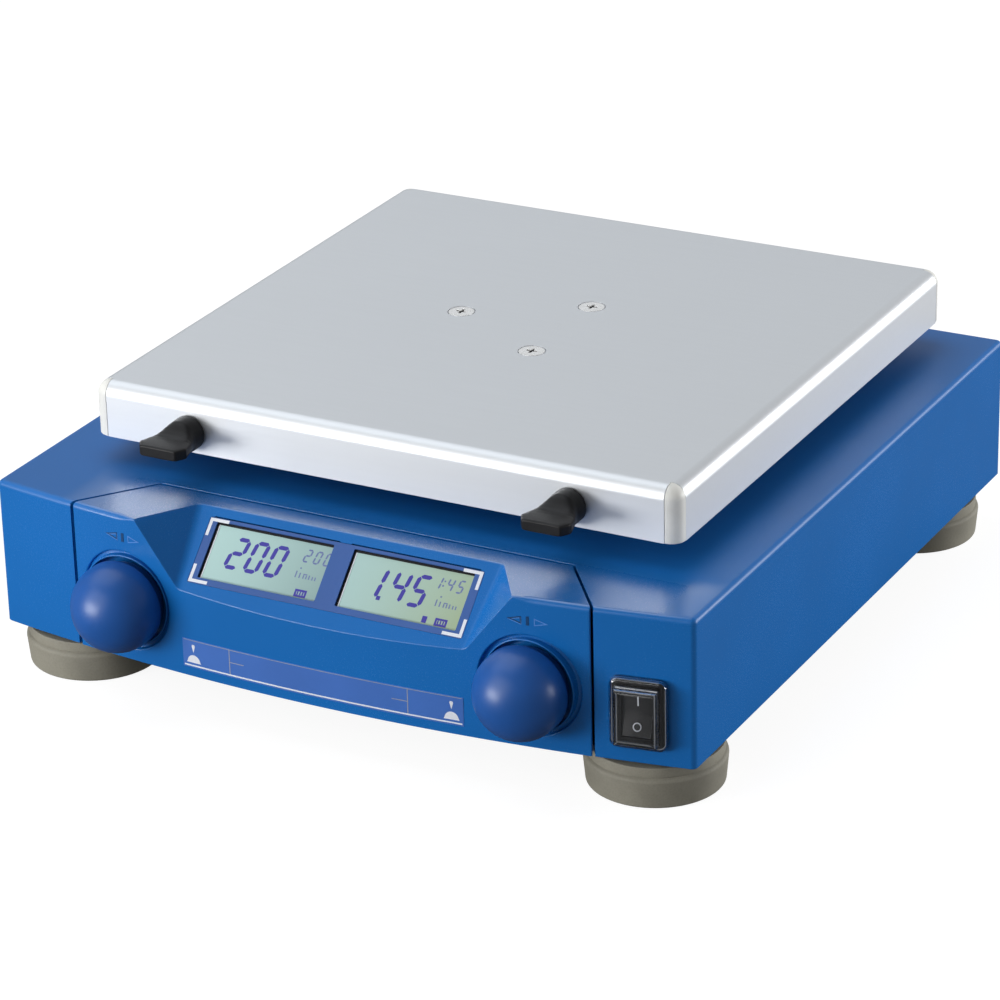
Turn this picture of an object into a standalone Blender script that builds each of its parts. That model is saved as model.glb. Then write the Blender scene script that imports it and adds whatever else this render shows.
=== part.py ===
"""Benchtop orbital shaker, modelled as an assembly of separate named pieces.

Metres, +Z up, -Y towards the control console. The origin is the centre of the footprint box, on the
surface that the feet stand on. Pieces are placed in the housing's own frame, whose zero is the middle
of the housing at its bottom edge. The table circles without turning: a crank carries it on a pin set
off the crank's axis, and three idler cranks keep it square to the housing.
"""

import math

import bmesh
import bpy

MM = 0.001
DEG = math.pi / 180

# Clearances, cutter overruns and the numbers of facets
GAP = 0.3 * MM
SEAM = 0.35 * MM
OVERRUN = 6 * MM
MERGE = 0.01 * MM
FLAT_ANGLE = 0.05 * DEG
ROUND_STEPS = 28
SMALL_STEPS = 16
CORNER_STEPS = 3
BOW_STEPS = 16

# Housing cover: a moulded shell, open below, its front bowed in plan
WIDTH = 270 * MM
DEPTH = 269 * MM
HEIGHT = 54.3 * MM
BOW = 12.5 * MM
WALL = 3 * MM
EDGE_RADIUS = 2 * MM
BOSS_RADIUS = 6 * MM
BOSS_BORE_DEPTH = 28 * MM
COLLAR_WALL = 3 * MM
COLLAR_HEIGHT = 2.5 * MM

# Base plate and feet
BASE_THICKNESS = 2.5 * MM
FOOT_HEIGHT = 16.6 * MM
FOOT_RADIUS = 24.5 * MM
FOOT_FROM_SIDE = 24 * MM
FOOT_FROM_FRONT = 19.5 * MM
FOOT_FROM_REAR = 27.2 * MM
PUCK_HEIGHT = 11.3 * MM
PUCK_SHOULDER = 2.6 * MM
COLLAR_BAND_HEIGHT = 3.7 * MM
COLLAR_BAND_INSET = 0.9 * MM
NECK_INSET = 4.5 * MM
FOOT_BORE_RADIUS = 7.5 * MM
FOOT_BORE_DEPTH = 7 * MM
FOOT_SCREW_RADIUS = 2.5 * MM
FOOT_SCREW_HEAD_RADIUS = 4.5 * MM
FOOT_SCREW_HEAD_HEIGHT = 3 * MM
FOOT_SCREW_REACH = 20 * MM

# Console panel: a trapezoid in plan, with a dished place for the display and two round dishes
CONSOLE_FROM_SIDE = 34.6 * MM
CONSOLE_TAPER = 19.9 * MM
CONSOLE_SETBACK = 21.2 * MM
CONSOLE_FRONT_SETBACK = -5 * MM
CONSOLE_WALL = 2.6 * MM
TONGUE_REACH = 7 * MM
TONGUE_ROOT = 3.5 * MM
TONGUE_THICKNESS = 2 * MM
DISPLAY_SETBACK = 12.4 * MM
DISPLAY_ANGLE = 44.4 * DEG
DISPLAY_DISH_GAP = 0.1 * MM
DISPLAY_LENGTH = 34.5 * MM
DISPLAY_NARROWING = 3.5 * MM
DISPLAY_CUT_HEIGHT = 30 * MM
DISPLAY_FLARE = 43.5 * DEG
DISPLAY_FILLET = 4 * MM

# Printed film, display cells and their board, in the sloping frame of the display
FILM_SIDE_GAP = 2.2 * MM
FILM_TOP = 3.9 * MM
FILM_LENGTH = 24.6 * MM
FILM_THICKNESS = 0.6 * MM
FILM_CORNER = 1 * MM
WINDOW_INNER = 3.9 * MM
WINDOW_OUTER = 3.2 * MM
WINDOW_TOP = 5.1 * MM
WINDOW_LENGTH = 21.1 * MM
CELL_MARGIN = 1.4 * MM
CELL_THICKNESS = 2.6 * MM
BOARD_THICKNESS = 1.6 * MM
BOARD_MARGIN = 3 * MM
HEADER_SIZE = (30 * MM, 6 * MM, 5 * MM)

# Knobs, their dishes and the encoders behind them
KNOB_RADIUS = 16.1 * MM
KNOB_OUT = 5.7 * MM
KNOB_RIM = 0.6 * MM
KNOB_BORE_DEPTH = 12 * MM
DISH_CLEARANCE = 1.6 * MM
DISH_FLARE = 1.5 * MM
DISH_SIDE_MARGIN = 2.9 * MM
DISH_BOTTOM_MARGIN = 3.4 * MM
DISH_DEPTH = 4.6 * MM
DISH_FLOOR_WALL = 2 * MM
PUSH_TRAVEL = 1.5 * MM
KNOB_CLEARANCE = 0.6 * MM
SHAFT_RADIUS = 3 * MM
BUSH_RADIUS = 4.5 * MM
BUSH_LENGTH = 1.8 * MM
ENCODER_SIZE = 13.5 * MM
ENCODER_DEPTH = 11 * MM
ENCODER_BACK = 1.2 * MM
PLUNGER_LENGTH = 1.6 * MM

# Rocker switch and its clear cover, in a frame square to the bowed front
SWITCH_PLACE_SHARE = 0.461
SWITCH_Z = 18.85 * MM
SWITCH_COVER_WIDTH = 20.2 * MM
SWITCH_COVER_HEIGHT = 25.6 * MM
SWITCH_COVER_CORNER = 3 * MM
SWITCH_COVER_SKIN = 0.8 * MM
SWITCH_COVER_SKIRT = 3 * MM
SWITCH_COVER_STEP = 2.5 * MM
SWITCH_COVER_RISE = 4 * MM
BEZEL_THICKNESS = 1.6 * MM
SWITCH_SIDE_WALL = 0.9 * MM
SWITCH_END_WALL = 1.2 * MM
SWITCH_BODY_DEPTH = 15 * MM
ROCKER_WIDTH = 11 * MM
ROCKER_HALF_HEIGHT = 8 * MM
ROCKER_TIP = 3.6 * MM
ROCKER_VALLEY = 2.3 * MM
ROCKER_SHOULDER = 1.5 * MM
ROCKER_KEEL = 3.5 * MM
ROCKER_PIVOT_DEPTH = 0.6 * MM
ROCKER_TILT = 8 * DEG
ROCKER_CLEARANCE = 0.8 * MM

# Mains inlet with its fuse drawer, in the rear wall
INLET_FROM_SIDE = 57 * MM
INLET_Z = 26 * MM
INLET_SIDE = 4 * MM
INLET_END = 3.25 * MM
INLET_FLANGE_THICKNESS = 1.5 * MM
INLET_CORNER = 3 * MM
INLET_BODY_MARGIN = 2 * MM
INLET_DEPTH = 20 * MM
SOCKET_WIDTH = 23 * MM
SOCKET_HEIGHT = 16.5 * MM
SOCKET_DEPTH = 15 * MM
SOCKET_DRAWER_GAP = 4.5 * MM
SOCKET_CHAMFER = 4.5 * MM
PIN_SIZE = (2 * MM, 12 * MM, 4 * MM)
PIN_SPREAD = 7 * MM
PIN_DROP = 1 * MM
DRAWER_WIDTH = 22 * MM
DRAWER_HEIGHT = 7.5 * MM
DRAWER_DEPTH = 16 * MM
DRAWER_GRIP = 2 * MM

# Drive: crank, bearings, idler cranks, motor and belt
ORBIT_RADIUS = 2 * MM
TRAY_SHIFT = 10.3 * MM
SHAFT_CORE = 6 * MM
BEARING_OUTER = 14 * MM
BEARING_SPACING = 4.9 * MM
BEARING_GROOVE = 1 * MM
BEARING_RING = 3 * MM
TUBE_WALL = 4.5 * MM
TUBE_FLANGE_RADIUS = 31 * MM
TUBE_FLANGE_HEIGHT = 4 * MM
TUBE_STEP = 1.5 * MM
PULLEY_RADIUS = 24 * MM
PULLEY_HEIGHT = 7.6 * MM
PULLEY_LIP = 1 * MM
PULLEY_LIP_RISE = 2 * MM
WEIGHT_RADIUS = 33 * MM
WEIGHT_HUB = 10.5 * MM
WEIGHT_THICKNESS = 5 * MM
WEIGHT_CLEARANCE = 0.8 * MM
PIN_RADIUS = 5 * MM
PIN_LENGTH = 12.2 * MM
HUB_BEARING_OUTER = 13 * MM
HUB_BEARING_CLEAR = 0.6 * MM
IDLER_REACH = 62 * MM
IDLER_PIN_RADIUS = 4 * MM
IDLER_WEB_RADIUS = 10 * MM
IDLER_WEB_HEIGHT = 6 * MM
IDLER_WEB_CLEARANCE = 7.4 * MM
IDLER_POST_RADIUS = 9 * MM
IDLER_POST_FOOT = 14 * MM
IDLER_POST_FOOT_HEIGHT = 3 * MM
IDLER_POCKET_RISE = 7 * MM
IDLER_CLEARANCE = 0.5 * MM
MOTOR_DISTANCE = 85 * MM
MOTOR_DIRECTION = 150 * DEG
MOTOR_RADIUS = 29 * MM
MOTOR_PULLEY_CLEARANCE = 3.5 * MM
MOTOR_EDGE = 1.5 * MM
MOTOR_BOSS_RADIUS = 9 * MM
MOTOR_BOSS_HEIGHT = 2.5 * MM
MOTOR_SHAFT_RADIUS = 3 * MM
MOTOR_POCKET_RISE = 6 * MM
MOTOR_PULLEY_RADIUS = 10 * MM
BELT_THICKNESS = 1.4 * MM

# Power board
POWER_INNER_X = 37 * MM
POWER_FROM_SIDE = 16 * MM
POWER_FROM_REAR = 35.5 * MM
POWER_LENGTH = 74 * MM
POWER_LIFT = 8 * MM
STANDOFF_RADIUS = 3 * MM
STANDOFF_INSET = 5 * MM
TRANSFORMER_SIZE = (40 * MM, 34 * MM, 26 * MM)
TRANSFORMER_FROM_SIDE = 7 * MM
TRANSFORMER_SHIFT = 10 * MM
CAPACITOR_RADIUS = 8 * MM
CAPACITOR_HEIGHT = 22 * MM
CAPACITOR_FROM_INNER = 17 * MM
CAPACITOR_SPACING = 22 * MM

# Table: hub, carrier, tray, corner pieces and fasteners
TRAY_SIDE = 226.6 * MM
TRAY_RISE = 29.1 * MM
TRAY_SKIRT = 20.1 * MM
TRAY_SHEET = 2 * MM
TRAY_BEND = 4 * MM
TRAY_CORNER = 5.5 * MM
HUB_NECK_RADIUS = 18 * MM
HUB_SCREW_MARGIN = 8.6 * MM
HUB_FLANGE_THICKNESS = 5 * MM
HUB_SHOE_RADIUS = 25 * MM
HUB_SHOE_THICKNESS = 2.7 * MM
HUB_OPENING_CLEARANCE = 3 * MM
CARRIER_THICKNESS = 4 * MM
CARRIER_ROUNDING = 13 * MM
CARRIER_TOP_CLEARANCE = 1.8 * MM
TRAY_SCREW_CIRCLE = 27.4 * MM
TRAY_SCREW_HEAD = 4.8 * MM
TRAY_SCREW_SHANK = 2.5 * MM
TRAY_SCREW_RIM = 0.4 * MM
TRAY_SCREW_LENGTH = 6.2 * MM
CROSS_WIDTH = 1.1 * MM
CROSS_LENGTH = 5 * MM
CROSS_DEPTH = 1.8 * MM
CLAMP_FROM_SIDE = 39.1 * MM
CLAMP_DROP = 12.4 * MM
CLAMP_HUB_RADIUS = 6.3 * MM
CLAMP_HUB_LENGTH = 6 * MM
CLAMP_LENGTH = 21.4 * MM
CLAMP_WING_HALF = 9.35 * MM
CLAMP_FRONT_HALF = 7 * MM
CLAMP_WING_SETBACK = 4 * MM
CLAMP_WING_THICKNESS = 4.3 * MM
CLAMP_SLOPE_LENGTH = 5.5 * MM
CLAMP_EDGE = 0.5 * MM
CLAMP_STEM_RADIUS = 2.5 * MM
CLAMP_STEM_LENGTH = 8 * MM
CLAMP_STOP_RADIUS = 5 * MM
CLAMP_STOP_THICKNESS = 1.6 * MM

# Places that follow from the sizes above
FRONT_Y = -DEPTH / 2
REAR_Y = DEPTH / 2
HALF_WIDTH = WIDTH / 2
TRAY_Y = TRAY_SHIFT
TRAY_TOP = HEIGHT + TRAY_RISE
CRANK_Y = TRAY_SHIFT + ORBIT_RADIUS
FOOT_FRONT_Y = FRONT_Y + FOOT_FROM_FRONT
FOOT_REAR_Y = REAR_Y - FOOT_FROM_REAR
FOOT_X = HALF_WIDTH - FOOT_FROM_SIDE
CONSOLE_FRONT_HALF = HALF_WIDTH - CONSOLE_FROM_SIDE
CONSOLE_BACK_HALF = CONSOLE_FRONT_HALF - CONSOLE_TAPER
DISH_FLOOR_RADIUS = KNOB_RADIUS + DISH_CLEARANCE
DISH_RADIUS = DISH_FLOOR_RADIUS + DISH_FLARE
KNOB_X = CONSOLE_FRONT_HALF - DISH_SIDE_MARGIN - DISH_RADIUS
KNOB_Z = DISH_RADIUS + DISH_BOTTOM_MARGIN
DISPLAY_TOP_HALF = KNOB_X - DISH_RADIUS - DISPLAY_DISH_GAP
FILM_HALF_WIDTH = DISPLAY_TOP_HALF - DISPLAY_NARROWING - FILM_SIDE_GAP
WINDOW_WIDTH = FILM_HALF_WIDTH - WINDOW_INNER - WINDOW_OUTER
SWITCH_X = CONSOLE_FRONT_HALF + CONSOLE_FROM_SIDE * SWITCH_PLACE_SHARE
SWITCH_BODY_WIDTH = ROCKER_WIDTH + 2 * (GAP + SWITCH_SIDE_WALL)
SWITCH_BODY_HEIGHT = 2 * (ROCKER_HALF_HEIGHT + ROCKER_CLEARANCE + SWITCH_END_WALL)
INLET_X = HALF_WIDTH - INLET_FROM_SIDE
INLET_FLANGE_WIDTH = SOCKET_WIDTH + 2 * INLET_SIDE
INLET_FLANGE_HEIGHT = SOCKET_HEIGHT + SOCKET_DRAWER_GAP + DRAWER_HEIGHT + 2 * INLET_END
SOCKET_RISE = INLET_FLANGE_HEIGHT / 2 - INLET_END - SOCKET_HEIGHT / 2
DRAWER_DROP = INLET_FLANGE_HEIGHT / 2 - INLET_END - DRAWER_HEIGHT / 2
SCREW_HOLE_RADIUS = FOOT_SCREW_RADIUS + GAP
TRAY_HALF = TRAY_SIDE / 2
TRAY_FRONT_Y = TRAY_Y - TRAY_HALF
CLAMP_X = TRAY_HALF - CLAMP_FROM_SIDE
CLAMP_Z = TRAY_TOP - CLAMP_DROP
HUB_FLANGE_RADIUS = TRAY_SCREW_CIRCLE + HUB_SCREW_MARGIN
BASE_TOP = BASE_THICKNESS + GAP
INNER_TOP = HEIGHT - WALL
IDLER_ANGLES = (90 * DEG, 210 * DEG, 330 * DEG)
TRAY_SCREW_ANGLES = (60 * DEG, 180 * DEG, 300 * DEG)


def face_y(x):
    """The outer front face's y at x, along the bow."""
    return FRONT_Y - BOW * (1 - (x / HALF_WIDTH) ** 2)


KNOB_FACE_Y = face_y(KNOB_X)
DISH_FLOOR_Y = KNOB_FACE_Y + DISH_DEPTH
CUP_BACK_Y = DISH_FLOOR_Y + DISH_FLOOR_WALL
KNOB_CENTRE_Y = KNOB_FACE_Y - KNOB_OUT
KNOB_BACK_Y = DISH_FLOOR_Y - PUSH_TRAVEL - KNOB_CLEARANCE
KNOB_TIP_Y = KNOB_CENTRE_Y - KNOB_RADIUS
INLET_BACK_Y = REAR_Y + GAP + INLET_FLANGE_THICKNESS
MIDDLE_Y = (KNOB_TIP_Y + INLET_BACK_Y) / 2
SWITCH_TURN = math.atan(2 * BOW * SWITCH_X / HALF_WIDTH ** 2)
CARRIER_TOP = INNER_TOP - CARRIER_TOP_CLEARANCE
CARRIER_BOTTOM = CARRIER_TOP - CARRIER_THICKNESS
HUB_BOTTOM = CARRIER_BOTTOM - GAP - HUB_SHOE_THICKNESS
HUB_TOP = TRAY_TOP - TRAY_SHEET - GAP
WEIGHT_TOP = HUB_BOTTOM - WEIGHT_CLEARANCE
WEIGHT_BOTTOM = WEIGHT_TOP - WEIGHT_THICKNESS
PIN_TOP = WEIGHT_TOP + PIN_LENGTH
PULLEY_TOP = WEIGHT_BOTTOM - GAP
PULLEY_BOTTOM = PULLEY_TOP - PULLEY_HEIGHT
TUBE_TOP = PULLEY_BOTTOM - TUBE_STEP
BEARING_HEIGHT = (TUBE_TOP - BASE_TOP - 2 * (TUBE_STEP + GAP) - BEARING_SPACING) / 2
IDLER_WEB_TOP = CARRIER_BOTTOM - IDLER_WEB_CLEARANCE
IDLER_WEB_BOTTOM = IDLER_WEB_TOP - IDLER_WEB_HEIGHT
MOTOR_TOP = PULLEY_BOTTOM - MOTOR_PULLEY_CLEARANCE - MOTOR_BOSS_HEIGHT


def clear_scene():
    """Removes whatever the file opened with."""
    for old in list(bpy.data.objects):
        bpy.data.objects.remove(old, do_unlink=True)


def new_collection(name):
    made = bpy.data.collections.new(name)
    bpy.context.scene.collection.children.link(made)
    return made


def make_material(name, colour, roughness, metallic=0.0, alpha=1.0):
    """One Principled BSDF material."""
    material = bpy.data.materials.new(name)
    material.use_nodes = True
    shader = material.node_tree.nodes["Principled BSDF"]
    shader.inputs["Base Color"].default_value = (*colour, 1.0)
    shader.inputs["Roughness"].default_value = roughness
    shader.inputs["Metallic"].default_value = metallic
    shader.inputs["Alpha"].default_value = alpha
    return material


clear_scene()
PARTS = new_collection("orbital_shaker")
CUTTERS = new_collection("cutters")
BLUE = make_material("housing_blue", (0.012, 0.115, 0.40), 0.42)
NAVY = make_material("knob_blue", (0.02, 0.05, 0.26), 0.35)
FILM_BLUE = make_material("film_blue", (0.045, 0.09, 0.42), 0.4)
RUBBER = make_material("foot_rubber", (0.17, 0.16, 0.13), 0.85)
ALUMINIUM = make_material("tray_aluminium", (0.66, 0.68, 0.75), 0.42, 1.0)
CORNER_GREY = make_material("corner_grey", (0.52, 0.51, 0.47), 0.5, 0.6)
STEEL = make_material("steel", (0.55, 0.55, 0.56), 0.3, 1.0)
CAST = make_material("cast_metal", (0.33, 0.34, 0.36), 0.55, 0.8)
BLACK = make_material("black_plastic", (0.012, 0.012, 0.014), 0.45)
CLEAR = make_material("clear_silicone", (0.75, 0.78, 0.8), 0.15, 0.0, 0.3)
CELL_GREEN = make_material("display_cell", (0.36, 0.46, 0.36), 0.2)
BOARD_GREEN = make_material("circuit_board", (0.02, 0.13, 0.06), 0.5)
BELT_BLACK = make_material("belt_rubber", (0.02, 0.02, 0.02), 0.8)


def frame(name, location, rotation=(0, 0, 0), parent=None):
    """An empty that carries pieces."""
    empty = bpy.data.objects.new(name, None)
    PARTS.objects.link(empty)
    empty.parent = parent
    empty.location = location
    empty.rotation_euler = rotation
    return empty


HOUSING = frame("housing_frame", (0, -MIDDLE_Y, FOOT_HEIGHT))


def add_object(name, mesh, material, parent, location, rotation):
    """Links a mesh as a piece, or as a cutter when it has no material."""
    piece = bpy.data.objects.new(name, mesh)
    piece.parent = parent
    piece.location = location
    piece.rotation_euler = rotation
    if material:
        mesh.materials.append(material)
        PARTS.objects.link(piece)
    else:
        CUTTERS.objects.link(piece)
        piece.hide_render = True
        piece.display_type = "WIRE"
    return piece


def box(name, size, centre, material=None, parent=HOUSING, location=(0, 0, 0), rotation=(0, 0, 0)):
    """A block of the given size about a centre in its own frame."""
    shape = bmesh.new()
    bmesh.ops.create_cube(shape, size=1.0)
    bmesh.ops.scale(shape, vec=size, verts=shape.verts)
    bmesh.ops.translate(shape, vec=centre, verts=shape.verts)
    mesh = bpy.data.meshes.new(name)
    shape.to_mesh(mesh)
    shape.free()
    return add_object(name, mesh, material, parent, location, rotation)


def rounded_rectangle(width, height, radius, centre=(0, 0)):
    """Outline points of a rectangle with round corners, counter-clockwise."""
    points = []
    for corner, (sx, sy) in enumerate(((1, 1), (-1, 1), (-1, -1), (1, -1))):
        cx = centre[0] + sx * (width / 2 - radius)
        cy = centre[1] + sy * (height / 2 - radius)
        for step in range(CORNER_STEPS + 1):
            angle = math.pi / 2 * (corner + step / CORNER_STEPS)
            points.append((cx + radius * math.cos(angle), cy + radius * math.sin(angle)))
    return points


def circle(radius, centre=(0, 0), steps=SMALL_STEPS):
    """Outline points of a circle."""
    angles = [2 * math.pi * i / steps for i in range(steps)]
    return [(centre[0] + radius * math.cos(a), centre[1] + radius * math.sin(a)) for a in angles]


def arc(centre, radius, start, end, steps):
    """Points along an arc, both ends included."""
    angles = [start + (end - start) * i / steps for i in range(steps + 1)]
    return [(centre[0] + radius * math.cos(a), centre[1] + radius * math.sin(a)) for a in angles]


def prism(name, outlines, bottom, top, material=None, parent=HOUSING, location=(0, 0, 0), rotation=(0, 0, 0)):
    """A flat outline, or an outline with holes, raised from bottom to top along its own Z."""
    curve = bpy.data.curves.new(name, "CURVE")
    curve.dimensions = "2D"
    curve.fill_mode = "BOTH"
    curve.extrude = (top - bottom) / 2
    for outline in outlines:
        spline = curve.splines.new("POLY")
        spline.points.add(len(outline) - 1)
        for point, (x, y) in zip(spline.points, outline):
            point.co = (x, y, 0, 1)
        spline.use_cyclic_u = True
    drawn = bpy.data.objects.new(name + "_outline", curve)
    CUTTERS.objects.link(drawn)
    solid = bpy.data.meshes.new_from_object(drawn.evaluated_get(bpy.context.evaluated_depsgraph_get()))
    bpy.data.objects.remove(drawn, do_unlink=True)
    shape = bmesh.new()
    shape.from_mesh(solid)
    bmesh.ops.remove_doubles(shape, verts=shape.verts, dist=MERGE)
    bmesh.ops.dissolve_limit(shape, angle_limit=FLAT_ANGLE, verts=shape.verts, edges=shape.edges)
    bmesh.ops.translate(shape, vec=(0, 0, (top + bottom) / 2), verts=shape.verts)
    bmesh.ops.recalc_face_normals(shape, faces=shape.faces)
    shape.to_mesh(solid)
    shape.free()
    return add_object(name, solid, material, parent, location, rotation)


def turned(name, profile, material=None, parent=HOUSING, location=(0, 0, 0), rotation=(0, 0, 0),
           steps=SMALL_STEPS, closed=False):
    """A profile of (radius, height), down its outer side, turned about its own Z."""
    mesh = bpy.data.meshes.new(name)
    edges = [(i, i + 1) for i in range(len(profile) - 1)]
    if closed:
        edges.append((len(profile) - 1, 0))
    mesh.from_pydata([(r, 0, z) for r, z in profile], edges, [])
    piece = add_object(name, mesh, material, parent, location, rotation)
    screw = piece.modifiers.new("turn", "SCREW")
    screw.steps = steps
    screw.render_steps = steps
    screw.use_merge_vertices = True
    screw.merge_threshold = MERGE
    screw.use_smooth_shade = True
    return piece


def boolean(piece, others, operation):
    for other in others:
        step = piece.modifiers.new(operation.lower(), "BOOLEAN")
        step.operation = operation
        step.object = other
    return piece


def cut(piece, *cutters):
    """Takes the cutters' shapes out of a piece."""
    return boolean(piece, cutters, "DIFFERENCE")


def join(piece, *others):
    """Adds the other shapes to a piece, as one body."""
    return boolean(piece, others, "UNION")


def soften(piece, width, segments, chosen):
    """Rounds the edges for which chosen(first point, second point) holds."""
    mesh = piece.data
    weights = mesh.attributes.new("bevel_weight_edge", "FLOAT", "EDGE")
    for edge in mesh.edges:
        first, second = (mesh.vertices[i].co for i in edge.vertices)
        weights.data[edge.index].value = 1.0 if chosen(first, second) else 0.0
    bevel = piece.modifiers.new("rounded_edges", "BEVEL")
    bevel.limit_method = "WEIGHT"
    bevel.width = width
    bevel.segments = segments
    return piece


def upright(first, second):
    return abs(first.x - second.x) < MERGE and abs(first.y - second.y) < MERGE


def level_at(height):
    """A test for edges that lie in the plane at a height."""
    return lambda first, second: abs(first.z - height) < MERGE and abs(second.z - height) < MERGE


def plan_outline(inset):
    """The housing's plan, moved inwards by the inset, with the bowed front."""
    half = HALF_WIDTH - inset
    front = [(-half + 2 * half * i / BOW_STEPS) for i in range(BOW_STEPS + 1)]
    points = [(x, face_y(x) + inset) for x in front]
    return points + [(half, REAR_Y - inset), (-half, REAR_Y - inset)]


def console_outline(inset, back, front):
    """The console's plan trapezoid, moved inwards by the inset, from a back line to a front line."""
    front_line = FRONT_Y + CONSOLE_FRONT_SETBACK
    back_line = FRONT_Y + CONSOLE_SETBACK
    spread = (CONSOLE_FRONT_HALF - CONSOLE_BACK_HALF) / (back_line - front_line)
    left =[(-CONSOLE_FRONT_HALF + (max(y, front_line) - front_line) * spread + inset, y)
            for y in (back, front_line, front)]
    return left + [(-x, y) for x, y in reversed(left)]


def cylinder(name, radius, bottom, top, material=None, parent=HOUSING, location=(0, 0, 0),
             rotation=(0, 0, 0)):
    """A round bar between two heights on its own Z."""
    shape = bmesh.new()
    bmesh.ops.create_cone(shape, cap_ends=True, segments=SMALL_STEPS, radius1=radius, radius2=radius,
                          depth=top - bottom)
    bmesh.ops.translate(shape, vec=(0, 0, (top + bottom) / 2), verts=shape.verts)
    mesh = bpy.data.meshes.new(name)
    shape.to_mesh(mesh)
    shape.free()
    return add_object(name, mesh, material, parent, location, rotation)


def feet_places():
    """The four feet's names and centres."""
    return {
        "front_left": (-FOOT_X, FOOT_FRONT_Y, 0), "front_right": (FOOT_X, FOOT_FRONT_Y, 0),
        "rear_left": (-FOOT_X, FOOT_REAR_Y, 0), "rear_right": (FOOT_X, FOOT_REAR_Y, 0),
    }


SWITCH = frame("switch_frame", (SWITCH_X, face_y(SWITCH_X), SWITCH_Z), (0, 0, SWITCH_TURN), HOUSING)
INLET = frame("inlet_frame", (INLET_X, REAR_Y, INLET_Z), (0, 0, math.pi), HOUSING)
DISPLAY = frame("display_frame", (0, FRONT_Y + DISPLAY_SETBACK, HEIGHT), (DISPLAY_ANGLE, 0, 0), HOUSING)
CRANK = frame("crank_axis", (0, CRANK_Y, 0), (0, 0, 0), HOUSING)
TABLE = frame("table_axis", (0, TRAY_Y, 0), (0, 0, 0), HOUSING)
OUTWARD = (math.pi / 2, 0, 0)


def make_cover():
    """The moulded cover with its bosses, the notch for the console and the holes in its walls."""
    cover = prism("housing_cover", [plan_outline(0)], 0, HEIGHT, BLUE)

    def outer_edge(first, second):
        corner = upright(first, second) and abs(first.x) > HALF_WIDTH - MERGE
        return corner or level_at(HEIGHT)(first, second)

    soften(cover, EDGE_RADIUS, CORNER_STEPS, outer_edge)
    hollow = prism("cover_hollow", [plan_outline(WALL)], -OVERRUN, INNER_TOP)
    back_line = FRONT_Y + CONSOLE_SETBACK + SEAM
    notch_outline = console_outline(-SEAM, back_line, FRONT_Y - BOW - OVERRUN)
    notch = prism("console_notch", [notch_outline], -OVERRUN, HEIGHT + OVERRUN)
    opening_radius = HUB_NECK_RADIUS + ORBIT_RADIUS + HUB_OPENING_CLEARANCE
    collar = cylinder("opening_collar", opening_radius + COLLAR_WALL, INNER_TOP, HEIGHT + COLLAR_HEIGHT,
                      parent=CRANK)
    opening = cylinder("hub_opening", opening_radius, INNER_TOP - OVERRUN, HEIGHT + OVERRUN, parent=CRANK)
    through = WALL + 2 * OVERRUN
    switch_hole = box("switch_hole", (SWITCH_BODY_WIDTH + 2 * GAP, through, SWITCH_BODY_HEIGHT + 2 * GAP),
                      (0, 0, 0), parent=SWITCH)
    body_width = INLET_FLANGE_WIDTH - 2 * INLET_BODY_MARGIN
    body_height = INLET_FLANGE_HEIGHT - 2 * INLET_BODY_MARGIN
    inlet_hole = box("inlet_hole", (body_width + 2 * GAP, through, body_height + 2 * GAP), (0, 0, 0),
                     parent=INLET)
    cut(cover, hollow)
    join(cover, collar)
    for name, place in feet_places().items():
        join(cover, cylinder("boss_" + name, BOSS_RADIUS, BASE_TOP, INNER_TOP + WALL / 2, location=place))
    bore_top = BASE_TOP + BOSS_BORE_DEPTH
    for name, place in feet_places().items():
        cut(cover, cylinder("boss_bore_" + name, SCREW_HOLE_RADIUS, 0, bore_top, location=place))
    cut(cover, notch, opening, switch_hole, inlet_hole)


def make_base():
    """The base plate that closes the housing from below."""
    base = prism("base_plate", [plan_outline(WALL + GAP)], 0, BASE_THICKNESS, STEEL)
    for name, place in feet_places().items():
        cut(base, cylinder("base_hole_" + name, SCREW_HOLE_RADIUS, -OVERRUN, OVERRUN, location=place))


def foot_profile():
    """Rubber foot: a puck with a round shoulder, a collar band and a short neck, bored for its screw."""
    sole = -FOOT_HEIGHT
    top = -GAP
    puck_top = sole + PUCK_HEIGHT
    band = FOOT_RADIUS - COLLAR_BAND_INSET
    neck = FOOT_RADIUS - NECK_INSET
    shoulder = arc((FOOT_RADIUS - PUCK_SHOULDER, puck_top - PUCK_SHOULDER), PUCK_SHOULDER,
                   math.pi / 3, 0, CORNER_STEPS - 1)
    return [
        (SCREW_HOLE_RADIUS, top), (neck, top), (neck, puck_top + COLLAR_BAND_HEIGHT),
        (band, puck_top + COLLAR_BAND_HEIGHT), (band, puck_top), *shoulder,
        (FOOT_RADIUS, sole), (FOOT_BORE_RADIUS, sole),
        (FOOT_BORE_RADIUS, sole + FOOT_BORE_DEPTH), (SCREW_HOLE_RADIUS, sole + FOOT_BORE_DEPTH),
    ]


def foot_screw_profile():
    seat = -FOOT_HEIGHT + FOOT_BORE_DEPTH - GAP
    return [
        (0, FOOT_SCREW_REACH), (FOOT_SCREW_RADIUS, FOOT_SCREW_REACH), (FOOT_SCREW_RADIUS, seat),
        (FOOT_SCREW_HEAD_RADIUS, seat), (FOOT_SCREW_HEAD_RADIUS, seat - FOOT_SCREW_HEAD_HEIGHT),
        (0, seat - FOOT_SCREW_HEAD_HEIGHT),
    ]


def make_feet():
    for name, place in feet_places().items():
        turned("foot_" + name, foot_profile(), RUBBER, location=place, steps=ROUND_STEPS, closed=True)
        turned("foot_screw_" + name, foot_screw_profile(), STEEL, location=place)


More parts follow.
